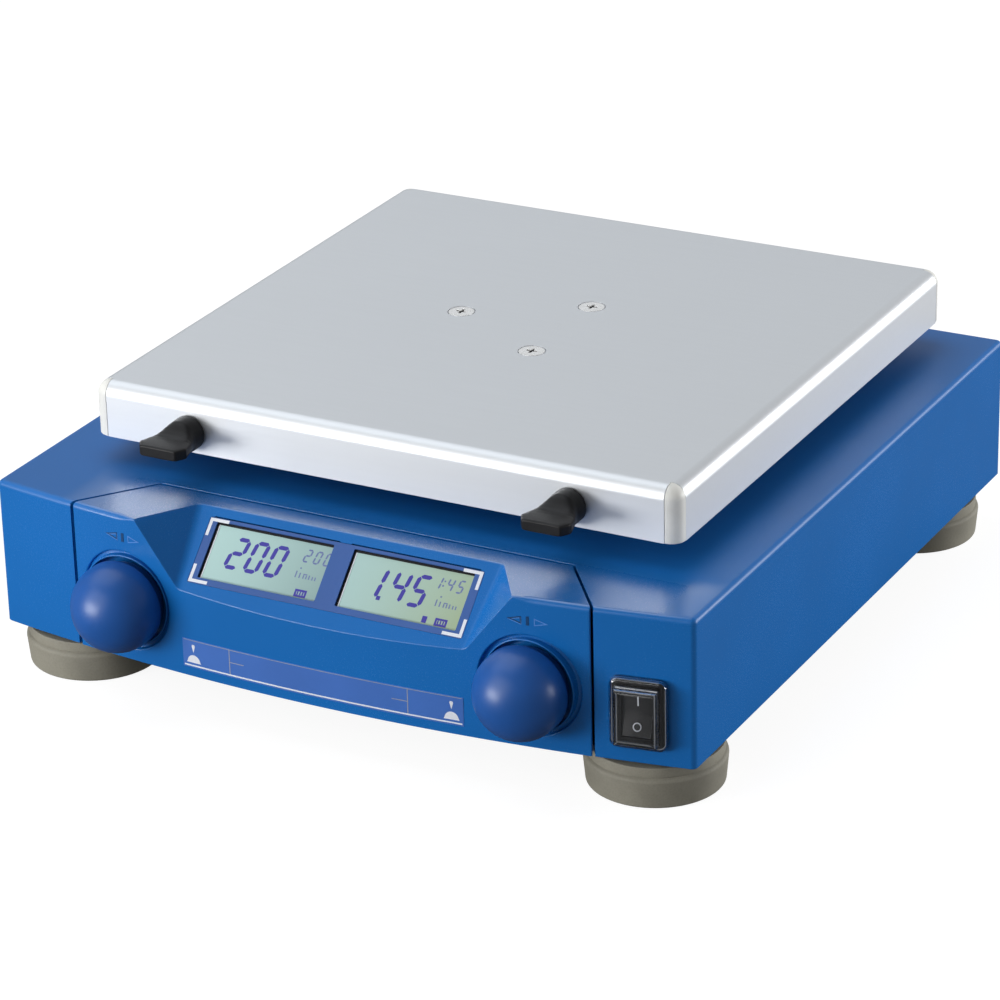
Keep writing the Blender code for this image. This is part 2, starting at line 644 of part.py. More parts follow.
def display_wedge(name, grow):
    """The dished place that holds the display, grown outwards on its floor and sides."""
    wedge = box(name, (1, 1, 1), (0, 0, 0), parent=DISPLAY)
    slant = DISPLAY_NARROWING / DISPLAY_LENGTH
    rise = DISPLAY_CUT_HEIGHT / math.tan(DISPLAY_FLARE)
    reach = DISPLAY_LENGTH + BOW + OVERRUN
    side_grow = grow / math.sin(DISPLAY_FLARE)
    for vertex in wedge.data.vertices:
        across, along, up = (1 if value > 0 else -1 for value in vertex.co)
        y = OVERRUN if along > 0 else -reach
        half = DISPLAY_TOP_HALF + y * slant + (rise if up > 0 else 0) + side_grow
        vertex.co = (across * half, y, DISPLAY_CUT_HEIGHT if up > 0 else -grow)

    def floor_side(first, second):
        return first.z < MERGE and second.z < MERGE and abs(first.y - second.y) > DISPLAY_LENGTH

    return soften(wedge, DISPLAY_FILLET, CORNER_STEPS, floor_side)


def window_centres():
    """The two display windows' middles, in the display's frame."""
    x = WINDOW_INNER + WINDOW_WIDTH / 2
    y = -WINDOW_TOP - WINDOW_LENGTH / 2
    return {"left": (-x, y), "right": (x, y)}


def make_console():
    """The console panel: bowed front, top strip, side returns, display dish and knob dishes."""
    front_end = FRONT_Y - BOW - OVERRUN
    back_line = FRONT_Y + CONSOLE_SETBACK - SEAM
    panel = prism("console_panel", [plan_outline(0)], 0, HEIGHT, BLUE)
    soften(panel, EDGE_RADIUS, CORNER_STEPS, level_at(HEIGHT))
    keep = prism("console_keep", [console_outline(SEAM, back_line, front_end)], -OVERRUN, HEIGHT + OVERRUN)
    boolean(panel, [keep], "INTERSECT")
    hollow = prism("console_hollow", [plan_outline(CONSOLE_WALL)], -OVERRUN, HEIGHT - CONSOLE_WALL)
    inside = console_outline(SEAM + CONSOLE_WALL, back_line + OVERRUN, front_end)
    hollow_keep = prism("console_hollow_keep", [inside], -OVERRUN - OVERRUN, HEIGHT)
    boolean(hollow, [hollow_keep], "INTERSECT")
    cut(hollow, display_wedge("display_backing", CONSOLE_WALL))
    cut(panel, hollow)
    tongue_top = INNER_TOP - GAP
    tongue_front = back_line - TONGUE_ROOT
    tongue_length = TONGUE_ROOT + TONGUE_REACH
    tongue_half = CONSOLE_BACK_HALF - SEAM - CONSOLE_WALL
    tongue = box("tongue", (2 * tongue_half, tongue_length, TONGUE_THICKNESS),
                 (0, tongue_front + tongue_length / 2, tongue_top - TONGUE_THICKNESS / 2))
    web_bottom = tongue_top - TONGUE_THICKNESS / 2
    web_top = HEIGHT - CONSOLE_WALL / 2
    web_length = TONGUE_ROOT - CONSOLE_WALL / 2
    web = box("tongue_web", (2 * tongue_half, web_length, web_top - web_bottom),
              (0, tongue_front + web_length / 2, (web_top + web_bottom) / 2))
    join(panel, tongue, web)
    cup_radius = DISH_FLOOR_RADIUS + DISH_FLOOR_WALL
    cup_front = KNOB_FACE_Y + CONSOLE_WALL / 2
    for side, x in (("left", -KNOB_X), ("right", KNOB_X)):
        place = (x, CUP_BACK_Y, KNOB_Z)
        join(panel, cylinder("cup_" + side, cup_radius, 0, CUP_BACK_Y - cup_front, location=place,
                             rotation=OUTWARD))
    cut(panel, display_wedge("display_dish", 0), prism("base_seat", [plan_outline(WALL)], -OVERRUN, BASE_TOP))
    dish_reach = DISH_DEPTH + OVERRUN
    flare = (DISH_RADIUS - DISH_FLOOR_RADIUS) / DISH_DEPTH
    dish_mouth = DISH_FLOOR_RADIUS + flare * dish_reach
    dish = [(0, dish_reach), (dish_mouth, dish_reach), (DISH_FLOOR_RADIUS, 0), (0, 0)]
    for side, x in (("left", -KNOB_X), ("right", KNOB_X)):
        place = (x, DISH_FLOOR_Y, KNOB_Z)
        cut(panel, turned("dish_" + side, dish, location=place, rotation=OUTWARD, steps=ROUND_STEPS))
        cut(panel, cylinder("bush_hole_" + side, BUSH_RADIUS + GAP, -OVERRUN, OVERRUN, location=place,
                            rotation=OUTWARD))
    film_hole = rounded_rectangle(2 * (FILM_HALF_WIDTH + GAP), FILM_LENGTH + 2 * GAP, FILM_CORNER,
                                  (0, -FILM_TOP - FILM_LENGTH / 2))
    cut(panel, prism("film_pocket", [film_hole], -FILM_THICKNESS - GAP, OVERRUN, parent=DISPLAY))
    for side, centre in window_centres().items():
        size = (WINDOW_WIDTH + 2 * (CELL_MARGIN + GAP), WINDOW_LENGTH + 2 * (CELL_MARGIN + GAP), 2 * OVERRUN)
        cut(panel, box("cell_hole_" + side, size, (*centre, 0), parent=DISPLAY))


def make_display():
    """Printed film with two windows, two display cells and the board behind them."""
    film = rounded_rectangle(2 * FILM_HALF_WIDTH, FILM_LENGTH, FILM_CORNER, (0, -FILM_TOP - FILM_LENGTH / 2))
    windows = [rounded_rectangle(WINDOW_WIDTH, WINDOW_LENGTH, FILM_CORNER / 2, centre)
               for centre in window_centres().values()]
    prism("display_film", [film, *windows], -FILM_THICKNESS, 0, FILM_BLUE, DISPLAY)
    cell_top = -FILM_THICKNESS - GAP
    for side, centre in window_centres().items():
        size = (WINDOW_WIDTH + 2 * CELL_MARGIN, WINDOW_LENGTH + 2 * CELL_MARGIN, CELL_THICKNESS)
        box("display_cell_" + side, size, (*centre, cell_top - CELL_THICKNESS / 2), CELL_GREEN, DISPLAY)
    board_top = min(cell_top - CELL_THICKNESS, -CONSOLE_WALL) - GAP
    board_width = 2 * (WINDOW_INNER + WINDOW_WIDTH + BOARD_MARGIN)
    board_length = WINDOW_LENGTH + 2 * BOARD_MARGIN
    middle = -WINDOW_TOP - WINDOW_LENGTH / 2
    board = box("display_board", (board_width, board_length, BOARD_THICKNESS),
                (0, middle, board_top - BOARD_THICKNESS / 2), BOARD_GREEN, DISPLAY)
    header_rise = BOARD_THICKNESS / 2
    header = box("board_header", (HEADER_SIZE[0], HEADER_SIZE[1], HEADER_SIZE[2] + header_rise),
                 (0, middle, board_top - header_rise - (HEADER_SIZE[2] + header_rise) / 2), parent=DISPLAY)
    join(board, header)


def knob_profile():
    """Domed knob, its height measured outwards from its back, bored for the encoder's shaft."""
    length = KNOB_BACK_Y - KNOB_CENTRE_Y
    dome = arc((0, length), KNOB_RADIUS, math.pi / 2, 0, 2 * CORNER_STEPS + 1)
    bore = SHAFT_RADIUS + GAP
    return [
        (0, length + KNOB_RADIUS), *dome[1:], (KNOB_RADIUS, KNOB_RIM), (KNOB_RADIUS - KNOB_RIM, 0), (bore, 0),
        (bore, KNOB_BORE_DEPTH), (0, KNOB_BORE_DEPTH),
    ]


def make_knob(side, x):
    """A knob on its encoder: the shaft turns with the knob and pushes the plunger behind it."""
    axis = frame("knob_axis_" + side, (x, KNOB_BACK_Y, KNOB_Z), OUTWARD, HOUSING)
    turned("knob_" + side, knob_profile(), NAVY, axis, steps=ROUND_STEPS)
    encoder_front = CUP_BACK_Y + GAP
    bore = SHAFT_RADIUS + GAP
    encoder = box("encoder_" + side, (ENCODER_SIZE, ENCODER_SIZE, ENCODER_DEPTH),
                  (0, 0, KNOB_BACK_Y - encoder_front - ENCODER_DEPTH / 2), BLACK, axis)
    bush_base = KNOB_BACK_Y - encoder_front - ENCODER_BACK
    bush_top = KNOB_BACK_Y - DISH_FLOOR_Y + BUSH_LENGTH - PUSH_TRAVEL
    join(encoder, cylinder("bush_" + side, BUSH_RADIUS, bush_base, bush_top, parent=axis))
    pocket_back = KNOB_BACK_Y - encoder_front - ENCODER_DEPTH + ENCODER_BACK
    cut(encoder, cylinder("encoder_bore_" + side, bore, pocket_back, OVERRUN, parent=axis))
    plunger_back = pocket_back + PUSH_TRAVEL + GAP
    plunger_front = plunger_back + PLUNGER_LENGTH
    cylinder("encoder_plunger_" + side, SHAFT_RADIUS, plunger_back, plunger_front, STEEL, axis)
    cylinder("encoder_shaft_" + side, SHAFT_RADIUS, plunger_front + GAP, KNOB_BORE_DEPTH - GAP, STEEL, axis)


def standing(name, outline, front, back, material=None, parent=SWITCH):
    """An outline in (x, z) raised outwards, between distances in front of the parent's face."""
    return prism(name, [outline], back, front, material, parent, rotation=OUTWARD)


def make_switch():
    """Rocker switch: body with its well, the rocker on its pivot and the clear cover over both."""
    bezel_width = SWITCH_COVER_WIDTH - 2 * (SWITCH_COVER_SKIN + GAP)
    bezel_height = SWITCH_COVER_HEIGHT - 2 * (SWITCH_COVER_SKIN + GAP)
    corner = SWITCH_COVER_CORNER - SWITCH_COVER_SKIN - GAP
    bezel_front = GAP + BEZEL_THICKNESS
    bezel = rounded_rectangle(bezel_width, bezel_height, corner)
    body = standing("switch_body", bezel, bezel_front, GAP, BLACK)
    join(body, box("switch_block", (SWITCH_BODY_WIDTH, SWITCH_BODY_DEPTH, SWITCH_BODY_HEIGHT),
                   (0, SWITCH_BODY_DEPTH / 2 - GAP - BEZEL_THICKNESS / 2, 0), parent=SWITCH))
    well_width = ROCKER_WIDTH + 2 * GAP
    well_height = 2 * (ROCKER_HALF_HEIGHT + ROCKER_CLEARANCE)
    well_depth = ROCKER_PIVOT_DEPTH + ROCKER_KEEL + ROCKER_CLEARANCE
    cut(body, box("rocker_well", (well_width, well_depth + OVERRUN, well_height),
                  (0, (well_depth - OVERRUN) / 2, 0), parent=SWITCH))
    pivot = frame("rocker_pivot", (0, ROCKER_PIVOT_DEPTH, 0), (-ROCKER_TILT, 0, 0), SWITCH)
    half = ROCKER_HALF_HEIGHT
    section = [(-half, ROCKER_TIP), (0, ROCKER_VALLEY), (half, ROCKER_TIP), (half, -ROCKER_SHOULDER),
               (half / 2, -ROCKER_KEEL), (-half / 2, -ROCKER_KEEL), (-half, -ROCKER_SHOULDER)]
    side_on = (math.pi / 2, 0, math.pi / 2)
    outline = [(-out, up) for up, out in section]
    prism("rocker", [outline], -ROCKER_WIDTH / 2, ROCKER_WIDTH / 2, BLACK, pivot, rotation=side_on)
    skirt_front = GAP + SWITCH_COVER_SKIRT
    dome_front = skirt_front + SWITCH_COVER_RISE
    dome_width = SWITCH_COVER_WIDTH - 2 * SWITCH_COVER_STEP
    dome_height = SWITCH_COVER_HEIGHT - 2 * SWITCH_COVER_STEP
    skin = SWITCH_COVER_SKIN
    skirt = rounded_rectangle(SWITCH_COVER_WIDTH, SWITCH_COVER_HEIGHT, SWITCH_COVER_CORNER)
    cover = standing("switch_cover", skirt, skirt_front, GAP, CLEAR)
    soften(cover, skin, 2, level_at(skirt_front))
    dome = standing("cover_dome", rounded_rectangle(dome_width, dome_height, SWITCH_COVER_CORNER),
                    dome_front, GAP + skin)
    soften(dome, skin, 2, level_at(dome_front))
    inner_corner = SWITCH_COVER_CORNER - skin
    under_skirt = rounded_rectangle(SWITCH_COVER_WIDTH - 2 * skin, SWITCH_COVER_HEIGHT - 2 * skin,
                                    inner_corner)
    under_dome = rounded_rectangle(dome_width - 2 * skin, dome_height - 2 * skin, inner_corner)
    join(cover, dome)
    cut(cover, standing("cover_under_skirt", under_skirt, skirt_front - skin, -OVERRUN),
        standing("cover_under_dome", under_dome, dome_front - skin, -OVERRUN))


def make_inlet():
    """Mains inlet with three blades, and the fuse drawer under its socket."""
    flange = rounded_rectangle(INLET_FLANGE_WIDTH, INLET_FLANGE_HEIGHT, INLET_CORNER)
    flange_front = GAP + INLET_FLANGE_THICKNESS
    inlet = standing("mains_inlet", flange, flange_front, GAP, BLACK, INLET)
    body_width = INLET_FLANGE_WIDTH - 2 * INLET_BODY_MARGIN
    body_height = INLET_FLANGE_HEIGHT - 2 * INLET_BODY_MARGIN
    join(inlet, box("inlet_block", (body_width, INLET_DEPTH, body_height),
                    (0, INLET_DEPTH / 2 - GAP - INLET_FLANGE_THICKNESS / 2, 0), parent=INLET))
    half = SOCKET_WIDTH / 2
    top = SOCKET_RISE + SOCKET_HEIGHT / 2
    bottom = SOCKET_RISE - SOCKET_HEIGHT / 2
    socket = [(-half, bottom), (half, bottom), (half, top - SOCKET_CHAMFER), (half - SOCKET_CHAMFER, top),
              (-half + SOCKET_CHAMFER, top), (-half, top - SOCKET_CHAMFER)]
    cut(inlet, standing("socket", socket, OVERRUN, -SOCKET_DEPTH, parent=INLET))
    blade_y = SOCKET_DEPTH + GAP - PIN_SIZE[1] / 2
    for index, (x, z) in enumerate(((-PIN_SPREAD, -PIN_DROP), (0, PIN_DROP), (PIN_SPREAD, -PIN_DROP))):
        join(inlet, box("blade_" + str(index), PIN_SIZE, (x, blade_y, SOCKET_RISE + z), parent=INLET))
    drawer_middle = DRAWER_DEPTH / 2 - flange_front
    cut(inlet, box("drawer_slot", (DRAWER_WIDTH + 2 * GAP, DRAWER_DEPTH + 2 * GAP, DRAWER_HEIGHT + 2 * GAP),
                   (0, drawer_middle, -DRAWER_DROP), parent=INLET))
    drawer = box("fuse_drawer", (DRAWER_WIDTH, DRAWER_DEPTH, DRAWER_HEIGHT), (0, drawer_middle, -DRAWER_DROP),
                 BLACK, INLET)
    grip_side = DRAWER_GRIP * math.sqrt(2)
    lower_edge = (0, -flange_front, -DRAWER_DROP - DRAWER_HEIGHT / 2)
    cut(drawer, box("drawer_grip", (DRAWER_WIDTH / 2, grip_side, grip_side), (0, 0, 0), parent=INLET,
                    location=lower_edge, rotation=(math.pi / 4, 0, 0)))


def bearing_profile(outer, inner, bottom, height):
    """A ball bearing as one turned ring, grooved between its races on its upper face."""
    top = bottom + height
    outer_race = outer - BEARING_RING
    inner_race = inner + BEARING_RING
    ceiling = top - BEARING_GROOVE
    return [
        (outer, top), (outer, bottom), (inner, bottom), (inner, top), (inner_race, top),
        (inner_race, ceiling), (outer_race, ceiling), (outer_race, top),
    ]


def make_crank():
    """Crank bearings in their housing, the shaft with its offset pin, pulley and counterweight."""
    seat = BEARING_OUTER + GAP
    tube = seat + TUBE_WALL
    floor = BASE_TOP
    top = TUBE_TOP
    inside = seat - BEARING_RING
    lower_seat = floor + TUBE_STEP + BEARING_HEIGHT + GAP
    upper_seat = top - TUBE_STEP - BEARING_HEIGHT - GAP
    flange = floor + TUBE_FLANGE_HEIGHT
    housing = [
        (seat, top), (tube, top), (tube, flange), (TUBE_FLANGE_RADIUS, flange),
        (TUBE_FLANGE_RADIUS, floor), (inside, floor), (inside, floor + TUBE_STEP), (seat, floor + TUBE_STEP),
        (seat, lower_seat), (inside, lower_seat), (inside, upper_seat), (seat, upper_seat),
    ]
    turned("bearing_housing", housing, CAST, CRANK, steps=ROUND_STEPS, closed=True)
    bore = SHAFT_CORE + GAP
    lower = bearing_profile(BEARING_OUTER, bore, floor + TUBE_STEP + GAP, BEARING_HEIGHT - GAP)
    upper = bearing_profile(BEARING_OUTER, bore, upper_seat + GAP, BEARING_HEIGHT)
    turned("crank_bearing_lower", lower, STEEL, CRANK, closed=True)
    turned("crank_bearing_upper", upper, STEEL, CRANK, closed=True)
    shaft = cylinder("crank_shaft", SHAFT_CORE, floor + TUBE_STEP, WEIGHT_TOP, STEEL, CRANK)
    join(shaft, cylinder("crank_pin", PIN_RADIUS - ORBIT_RADIUS / 2, WEIGHT_BOTTOM, PIN_TOP, parent=TABLE))
    ring_bore = SHAFT_CORE + GAP
    groove = PULLEY_RADIUS
    lip = PULLEY_RADIUS + PULLEY_LIP_RISE
    pulley = [
        (lip, PULLEY_TOP), (lip, PULLEY_TOP - PULLEY_LIP), (groove, PULLEY_TOP - PULLEY_LIP),
        (groove, PULLEY_BOTTOM + PULLEY_LIP), (lip, PULLEY_BOTTOM + PULLEY_LIP), (lip, PULLEY_BOTTOM),
        (ring_bore, PULLEY_BOTTOM), (ring_bore, PULLEY_TOP),
    ]
    turned("crank_pulley", pulley, STEEL, CRANK, steps=ROUND_STEPS, closed=True)
    back = arc((0, 0), WEIGHT_RADIUS, 0, math.pi, SMALL_STEPS // 2)
    nose = arc((0, 0), WEIGHT_HUB, math.pi, 2 * math.pi, SMALL_STEPS // 2)
    prism("counterweight", [back + nose, circle(ring_bore)], WEIGHT_BOTTOM, WEIGHT_TOP, CAST, CRANK)


def belt_outline(first, first_radius, second, second_radius):
    """The loop round two circles: an arc on each, joined by straight runs."""
    away = math.atan2(second[1] - first[1], second[0] - first[0])
    lean = math.acos((first_radius - second_radius) / math.dist(first, second))
    large = arc(first, first_radius, away + lean, away - lean + 2 * math.pi, SMALL_STEPS)
    small = arc(second, second_radius, away - lean, away + lean, SMALL_STEPS // 2)
    return large + small


def make_motor():
    """Flat motor standing on the base plate, its pulley level with the crank's, and the belt."""
    x = MOTOR_DISTANCE * math.cos(MOTOR_DIRECTION)
    y = CRANK_Y + MOTOR_DISTANCE * math.sin(MOTOR_DIRECTION)
    axis = frame("motor_axis", (x, y, 0), (0, 0, 0), HOUSING)
    top = MOTOR_TOP
    bore = MOTOR_SHAFT_RADIUS + GAP
    pocket = BASE_TOP + MOTOR_POCKET_RISE
    boss = top + MOTOR_BOSS_HEIGHT
    can = [
        (0, pocket), (bore, pocket), (bore, boss), (MOTOR_BOSS_RADIUS, boss), (MOTOR_BOSS_RADIUS, top),
        (MOTOR_RADIUS - MOTOR_EDGE, top), (MOTOR_RADIUS, top - MOTOR_EDGE),
        (MOTOR_RADIUS, BASE_TOP + MOTOR_EDGE), (MOTOR_RADIUS - MOTOR_EDGE, BASE_TOP), (0, BASE_TOP),
    ]
    turned("motor_housing", can, BLACK, axis, steps=ROUND_STEPS)
    groove = MOTOR_PULLEY_RADIUS
    lip = groove + PULLEY_LIP_RISE
    rotor = [
        (0, PULLEY_TOP), (lip, PULLEY_TOP), (lip, PULLEY_TOP - PULLEY_LIP), (groove, PULLEY_TOP - PULLEY_LIP),
        (groove, PULLEY_BOTTOM + PULLEY_LIP), (lip, PULLEY_BOTTOM + PULLEY_LIP), (lip, PULLEY_BOTTOM),
        (MOTOR_SHAFT_RADIUS, PULLEY_BOTTOM), (MOTOR_SHAFT_RADIUS, pocket + GAP), (0, pocket + GAP),
    ]
    turned("motor_pulley", rotor, STEEL, axis)
    loops = [belt_outline((0, CRANK_Y), PULLEY_RADIUS + away, (x, y), groove + away)
             for away in (GAP + BELT_THICKNESS, GAP)]
    prism("drive_belt", loops, PULLEY_BOTTOM + PULLEY_LIP + GAP, PULLEY_TOP - PULLEY_LIP - GAP, BELT_BLACK)


def idler_places(centre_y):
    return [(IDLER_REACH * math.cos(a), centre_y + IDLER_REACH * math.sin(a), 0) for a in IDLER_ANGLES]


def make_idlers():
    """Three idler cranks, each in a post on the base plate, with the crank's own offset."""
    bore = IDLER_PIN_RADIUS + GAP
    top = IDLER_WEB_BOTTOM - GAP
    pocket = BASE_TOP + IDLER_POCKET_RISE
    foot = BASE_TOP + IDLER_POST_FOOT_HEIGHT
    post = [
        (0, pocket), (bore, pocket), (bore, top), (IDLER_POST_RADIUS, top), (IDLER_POST_RADIUS, foot),
        (IDLER_POST_FOOT, foot), (IDLER_POST_FOOT, BASE_TOP), (0, BASE_TOP),
    ]
    web_middle = IDLER_WEB_BOTTOM + IDLER_WEB_HEIGHT / 2
    for index, place in enumerate(idler_places(CRANK_Y), 1):
        axis = frame("idler_axis_" + str(index), place, (0, 0, 0), HOUSING)
        turned("idler_post_" + str(index), post, CAST, axis)
        crank = turned("idler_crank_" + str(index), [
            (0, IDLER_WEB_TOP), (IDLER_WEB_RADIUS, IDLER_WEB_TOP), (IDLER_WEB_RADIUS, IDLER_WEB_BOTTOM),
            (IDLER_PIN_RADIUS, IDLER_WEB_BOTTOM), (IDLER_PIN_RADIUS, pocket + GAP), (0, pocket + GAP),
        ], STEEL, axis)
        join(crank, cylinder("idler_pin_" + str(index), IDLER_PIN_RADIUS, web_middle, CARRIER_TOP, parent=axis,
                             location=(0, -ORBIT_RADIUS, 0)))


def make_power_board():
    """Power board on four standoffs, with its transformer and two capacitors."""
    outer_x = HALF_WIDTH - POWER_FROM_SIDE
    width = outer_x - POWER_INNER_X
    middle_x = POWER_INNER_X + width / 2
    middle_y = REAR_Y - POWER_FROM_REAR - POWER_LENGTH / 2
    underside = BASE_TOP + POWER_LIFT
    surface = underside + BOARD_THICKNESS
    board = box("power_board", (width, POWER_LENGTH, BOARD_THICKNESS),
                (middle_x, middle_y, underside + BOARD_THICKNESS / 2), BOARD_GREEN)
    sunk = BOARD_THICKNESS / 2
    out_x = width / 2 - STANDOFF_INSET
    out_y = POWER_LENGTH / 2 - STANDOFF_INSET
    for sx in (-1, 1):
        for sy in (-1, 1):
            place = (middle_x + sx * out_x, middle_y + sy * out_y, 0)
            join(board, cylinder("standoff", STANDOFF_RADIUS, BASE_TOP, surface - sunk, location=place))
    tall = (TRANSFORMER_SIZE[0], TRANSFORMER_SIZE[1], TRANSFORMER_SIZE[2] + sunk)
    transformer_x = outer_x - TRANSFORMER_FROM_SIDE - TRANSFORMER_SIZE[0] / 2
    join(board, box("transformer", tall, (transformer_x, middle_y + TRANSFORMER_SHIFT,
                                          surface - sunk + tall[2] / 2)))
    can_top = surface + CAPACITOR_HEIGHT
    for step in (-1, 1):
        place = (POWER_INNER_X + CAPACITOR_FROM_INNER, middle_y + step * CAPACITOR_SPACING / 2, 0)
        join(board, cylinder("capacitor", CAPACITOR_RADIUS, surface - sunk, can_top, location=place))


def make_hub():
    """Hub under the tray, its bearing on the crank's pin, and the carrier that the idlers guide."""
    bearing_seat = HUB_BEARING_OUTER + GAP
    bearing_bottom = HUB_BOTTOM + HUB_BEARING_CLEAR
    bearing_height = PIN_TOP - bearing_bottom - HUB_BEARING_CLEAR
    pocket = PIN_TOP + HUB_BEARING_CLEAR
    flange_bottom = HUB_TOP - HUB_FLANGE_THICKNESS
    shoe_top = HUB_BOTTOM + HUB_SHOE_THICKNESS
    hub = turned("table_hub", [
        (0, HUB_TOP), (HUB_FLANGE_RADIUS, HUB_TOP), (HUB_FLANGE_RADIUS, flange_bottom),
        (HUB_NECK_RADIUS, flange_bottom), (HUB_NECK_RADIUS, shoe_top), (HUB_SHOE_RADIUS, shoe_top),
        (HUB_SHOE_RADIUS, HUB_BOTTOM), (bearing_seat, HUB_BOTTOM), (bearing_seat, pocket), (0, pocket),
    ], CAST, TABLE, steps=ROUND_STEPS)
    for place in tray_screw_places():
        cut(hub, turned("hub_screw_hole", tray_screw_profile(GAP, TRAY_SCREW_LENGTH + GAP), parent=TABLE,
                        location=place))
    pin = PIN_RADIUS - ORBIT_RADIUS / 2 + GAP
    races = bearing_profile(HUB_BEARING_OUTER, pin, bearing_bottom, bearing_height)
    turned("hub_bearing", races, STEEL, TABLE, closed=True)
    corners = []
    for angle in IDLER_ANGLES:
        centre = (IDLER_REACH * math.cos(angle), IDLER_REACH * math.sin(angle))
        corners += arc(centre, CARRIER_ROUNDING, angle - math.pi / 3, angle + math.pi / 3, 2 * CORNER_STEPS)
    holes = [circle(IDLER_PIN_RADIUS + IDLER_CLEARANCE, place[:2]) for place in idler_places(0)]
    holes.append(circle(HUB_NECK_RADIUS + GAP, steps=ROUND_STEPS))
    prism("carrier_plate", [corners, *holes], CARRIER_BOTTOM, CARRIER_TOP, ALUMINIUM, TABLE)


def tray_body(name, inset, material=None):
    """The tray's outer block with its round corners, moved inwards and down by the inset."""
    side = TRAY_SIDE - 2 * inset
    outline = rounded_rectangle(side, side, TRAY_CORNER - inset)
    top = TRAY_TOP - inset
    bottom = TRAY_TOP - TRAY_SKIRT - (OVERRUN if inset else 0)
    block = prism(name, [outline], bottom, top, material, TABLE)
    return soften(block, TRAY_BEND - inset, CORNER_STEPS, level_at(top))


def corner_column(name, reach, bottom):
    """Square column over the tray's corner that lies towards +X and +Y of its own frame."""
    side = reach + OVERRUN
    middle = TRAY_HALF + OVERRUN - side / 2
    top = TRAY_TOP + OVERRUN
    return box(name, (side, side, top - bottom), (middle, middle, (top + bottom) / 2), parent=TABLE)


def make_tray():
    """Folded sheet tray with open corners, and the four corner pieces that fill them."""
    tray = cut(tray_body("tray", 0, ALUMINIUM), tray_body("tray_hollow", TRAY_SHEET))
    skirt_bottom = TRAY_TOP - TRAY_SKIRT
    corner_names = ("rear_right", "rear_left", "front_left", "front_right")
    for index, name in enumerate(corner_names):
        turn = (0, 0, index * math.pi / 2)
        notch = corner_column("notch_" + name, TRAY_CORNER + GAP, skirt_bottom - OVERRUN)
        notch.rotation_euler = turn
        cut(tray, notch)
        corner = tray_body("corner_" + name, 0, CORNER_GREY)
        column = corner_column("column_" + name, TRAY_CORNER, skirt_bottom)
        column.rotation_euler = turn
        boolean(corner, [column], "INTERSECT")
    for place in tray_screw_places():
        cut(tray, turned("tray_screw_hole", tray_screw_profile(GAP, TRAY_SCREW_LENGTH), parent=TABLE,
                         location=place))
    for side in (-1, 1):
        cut(tray, cylinder("clamp_hole", CLAMP_STEM_RADIUS + GAP, -OVERRUN, OVERRUN,
                           location=(side * CLAMP_X, TRAY_FRONT_Y, CLAMP_Z), rotation=OUTWARD))


def tray_screw_places():
    """Where the screws' heads lie in the tray's top face."""
    return [(TRAY_SCREW_CIRCLE * math.cos(a), TRAY_SCREW_CIRCLE * math.sin(a), TRAY_TOP)
            for a in TRAY_SCREW_ANGLES]


def tray_screw_profile(grow, depth):
    """Countersunk screw, its height measured from the tray's top face; grown, it is the screw's hole."""
    head = TRAY_SCREW_HEAD + grow
    shank = TRAY_SCREW_SHANK + grow
    cone_bottom = -TRAY_SCREW_RIM - (TRAY_SCREW_HEAD - TRAY_SCREW_SHANK)
    top = OVERRUN if grow else 0
    return [
        (0, top), (head, top), (head, -TRAY_SCREW_RIM), (shank, cone_bottom), (shank, -depth), (0, -depth),
    ]


def make_tray_screws():
    for index, place in enumerate(tray_screw_places(), 1):
        axis = frame("tray_screw_axis_" + str(index), place, (0, 0, 0), TABLE)
        screw = turned("tray_screw_" + str(index), tray_screw_profile(0, TRAY_SCREW_LENGTH), STEEL, axis)
        cut(screw, box("cross_a", (CROSS_LENGTH, CROSS_WIDTH, 2 * CROSS_DEPTH), (0, 0, 0), parent=axis),
            box("cross_b", (CROSS_WIDTH, CROSS_LENGTH, 2 * CROSS_DEPTH), (0, 0, 0), parent=axis))


def make_clamp(side, x):
    """Winged clamp screw through the tray's front skirt, with its captive stop on the inner end."""
    axis = frame("clamp_axis_" + side, (x, TRAY_FRONT_Y, CLAMP_Z), OUTWARD, HOUSING)
    base = GAP
    hub_end = base + CLAMP_HUB_LENGTH
    front = CLAMP_LENGTH
    widest = front - CLAMP_WING_SETBACK
    right_side = [
        (CLAMP_HUB_RADIUS, base), (CLAMP_HUB_RADIUS, hub_end), (CLAMP_WING_HALF, widest),
        (CLAMP_FRONT_HALF, front),
    ]
    outline = right_side + [(-x, y) for x, y in reversed(right_side)]
    half = CLAMP_WING_THICKNESS / 2
    wing = prism("clamp_screw_" + side, [outline], -half, half, BLACK, axis, rotation=(math.pi / 2, 0, 0))
    soften(wing, CLAMP_EDGE, 1, lambda a, b: a.y > hub_end - MERGE and b.y > hub_end - MERGE)
    slope_end = hub_end + CLAMP_SLOPE_LENGTH
    hub = turned("clamp_hub_" + side, [
        (0, slope_end), (half, slope_end), (CLAMP_HUB_RADIUS, hub_end), (CLAMP_HUB_RADIUS, base), (0, base),
    ], parent=axis)
    stem_end = base + CLAMP_HUB_LENGTH / 2
    stem = cylinder("clamp_stem_" + side, CLAMP_STEM_RADIUS, -CLAMP_STEM_LENGTH, stem_end, parent=axis)
    join(wing, hub, stem)
    stop_front = -CLAMP_STEM_LENGTH - GAP
    stop_back = stop_front - CLAMP_STOP_THICKNESS
    cylinder("clamp_stop_" + side, CLAMP_STOP_RADIUS, stop_back, stop_front, STEEL, axis)


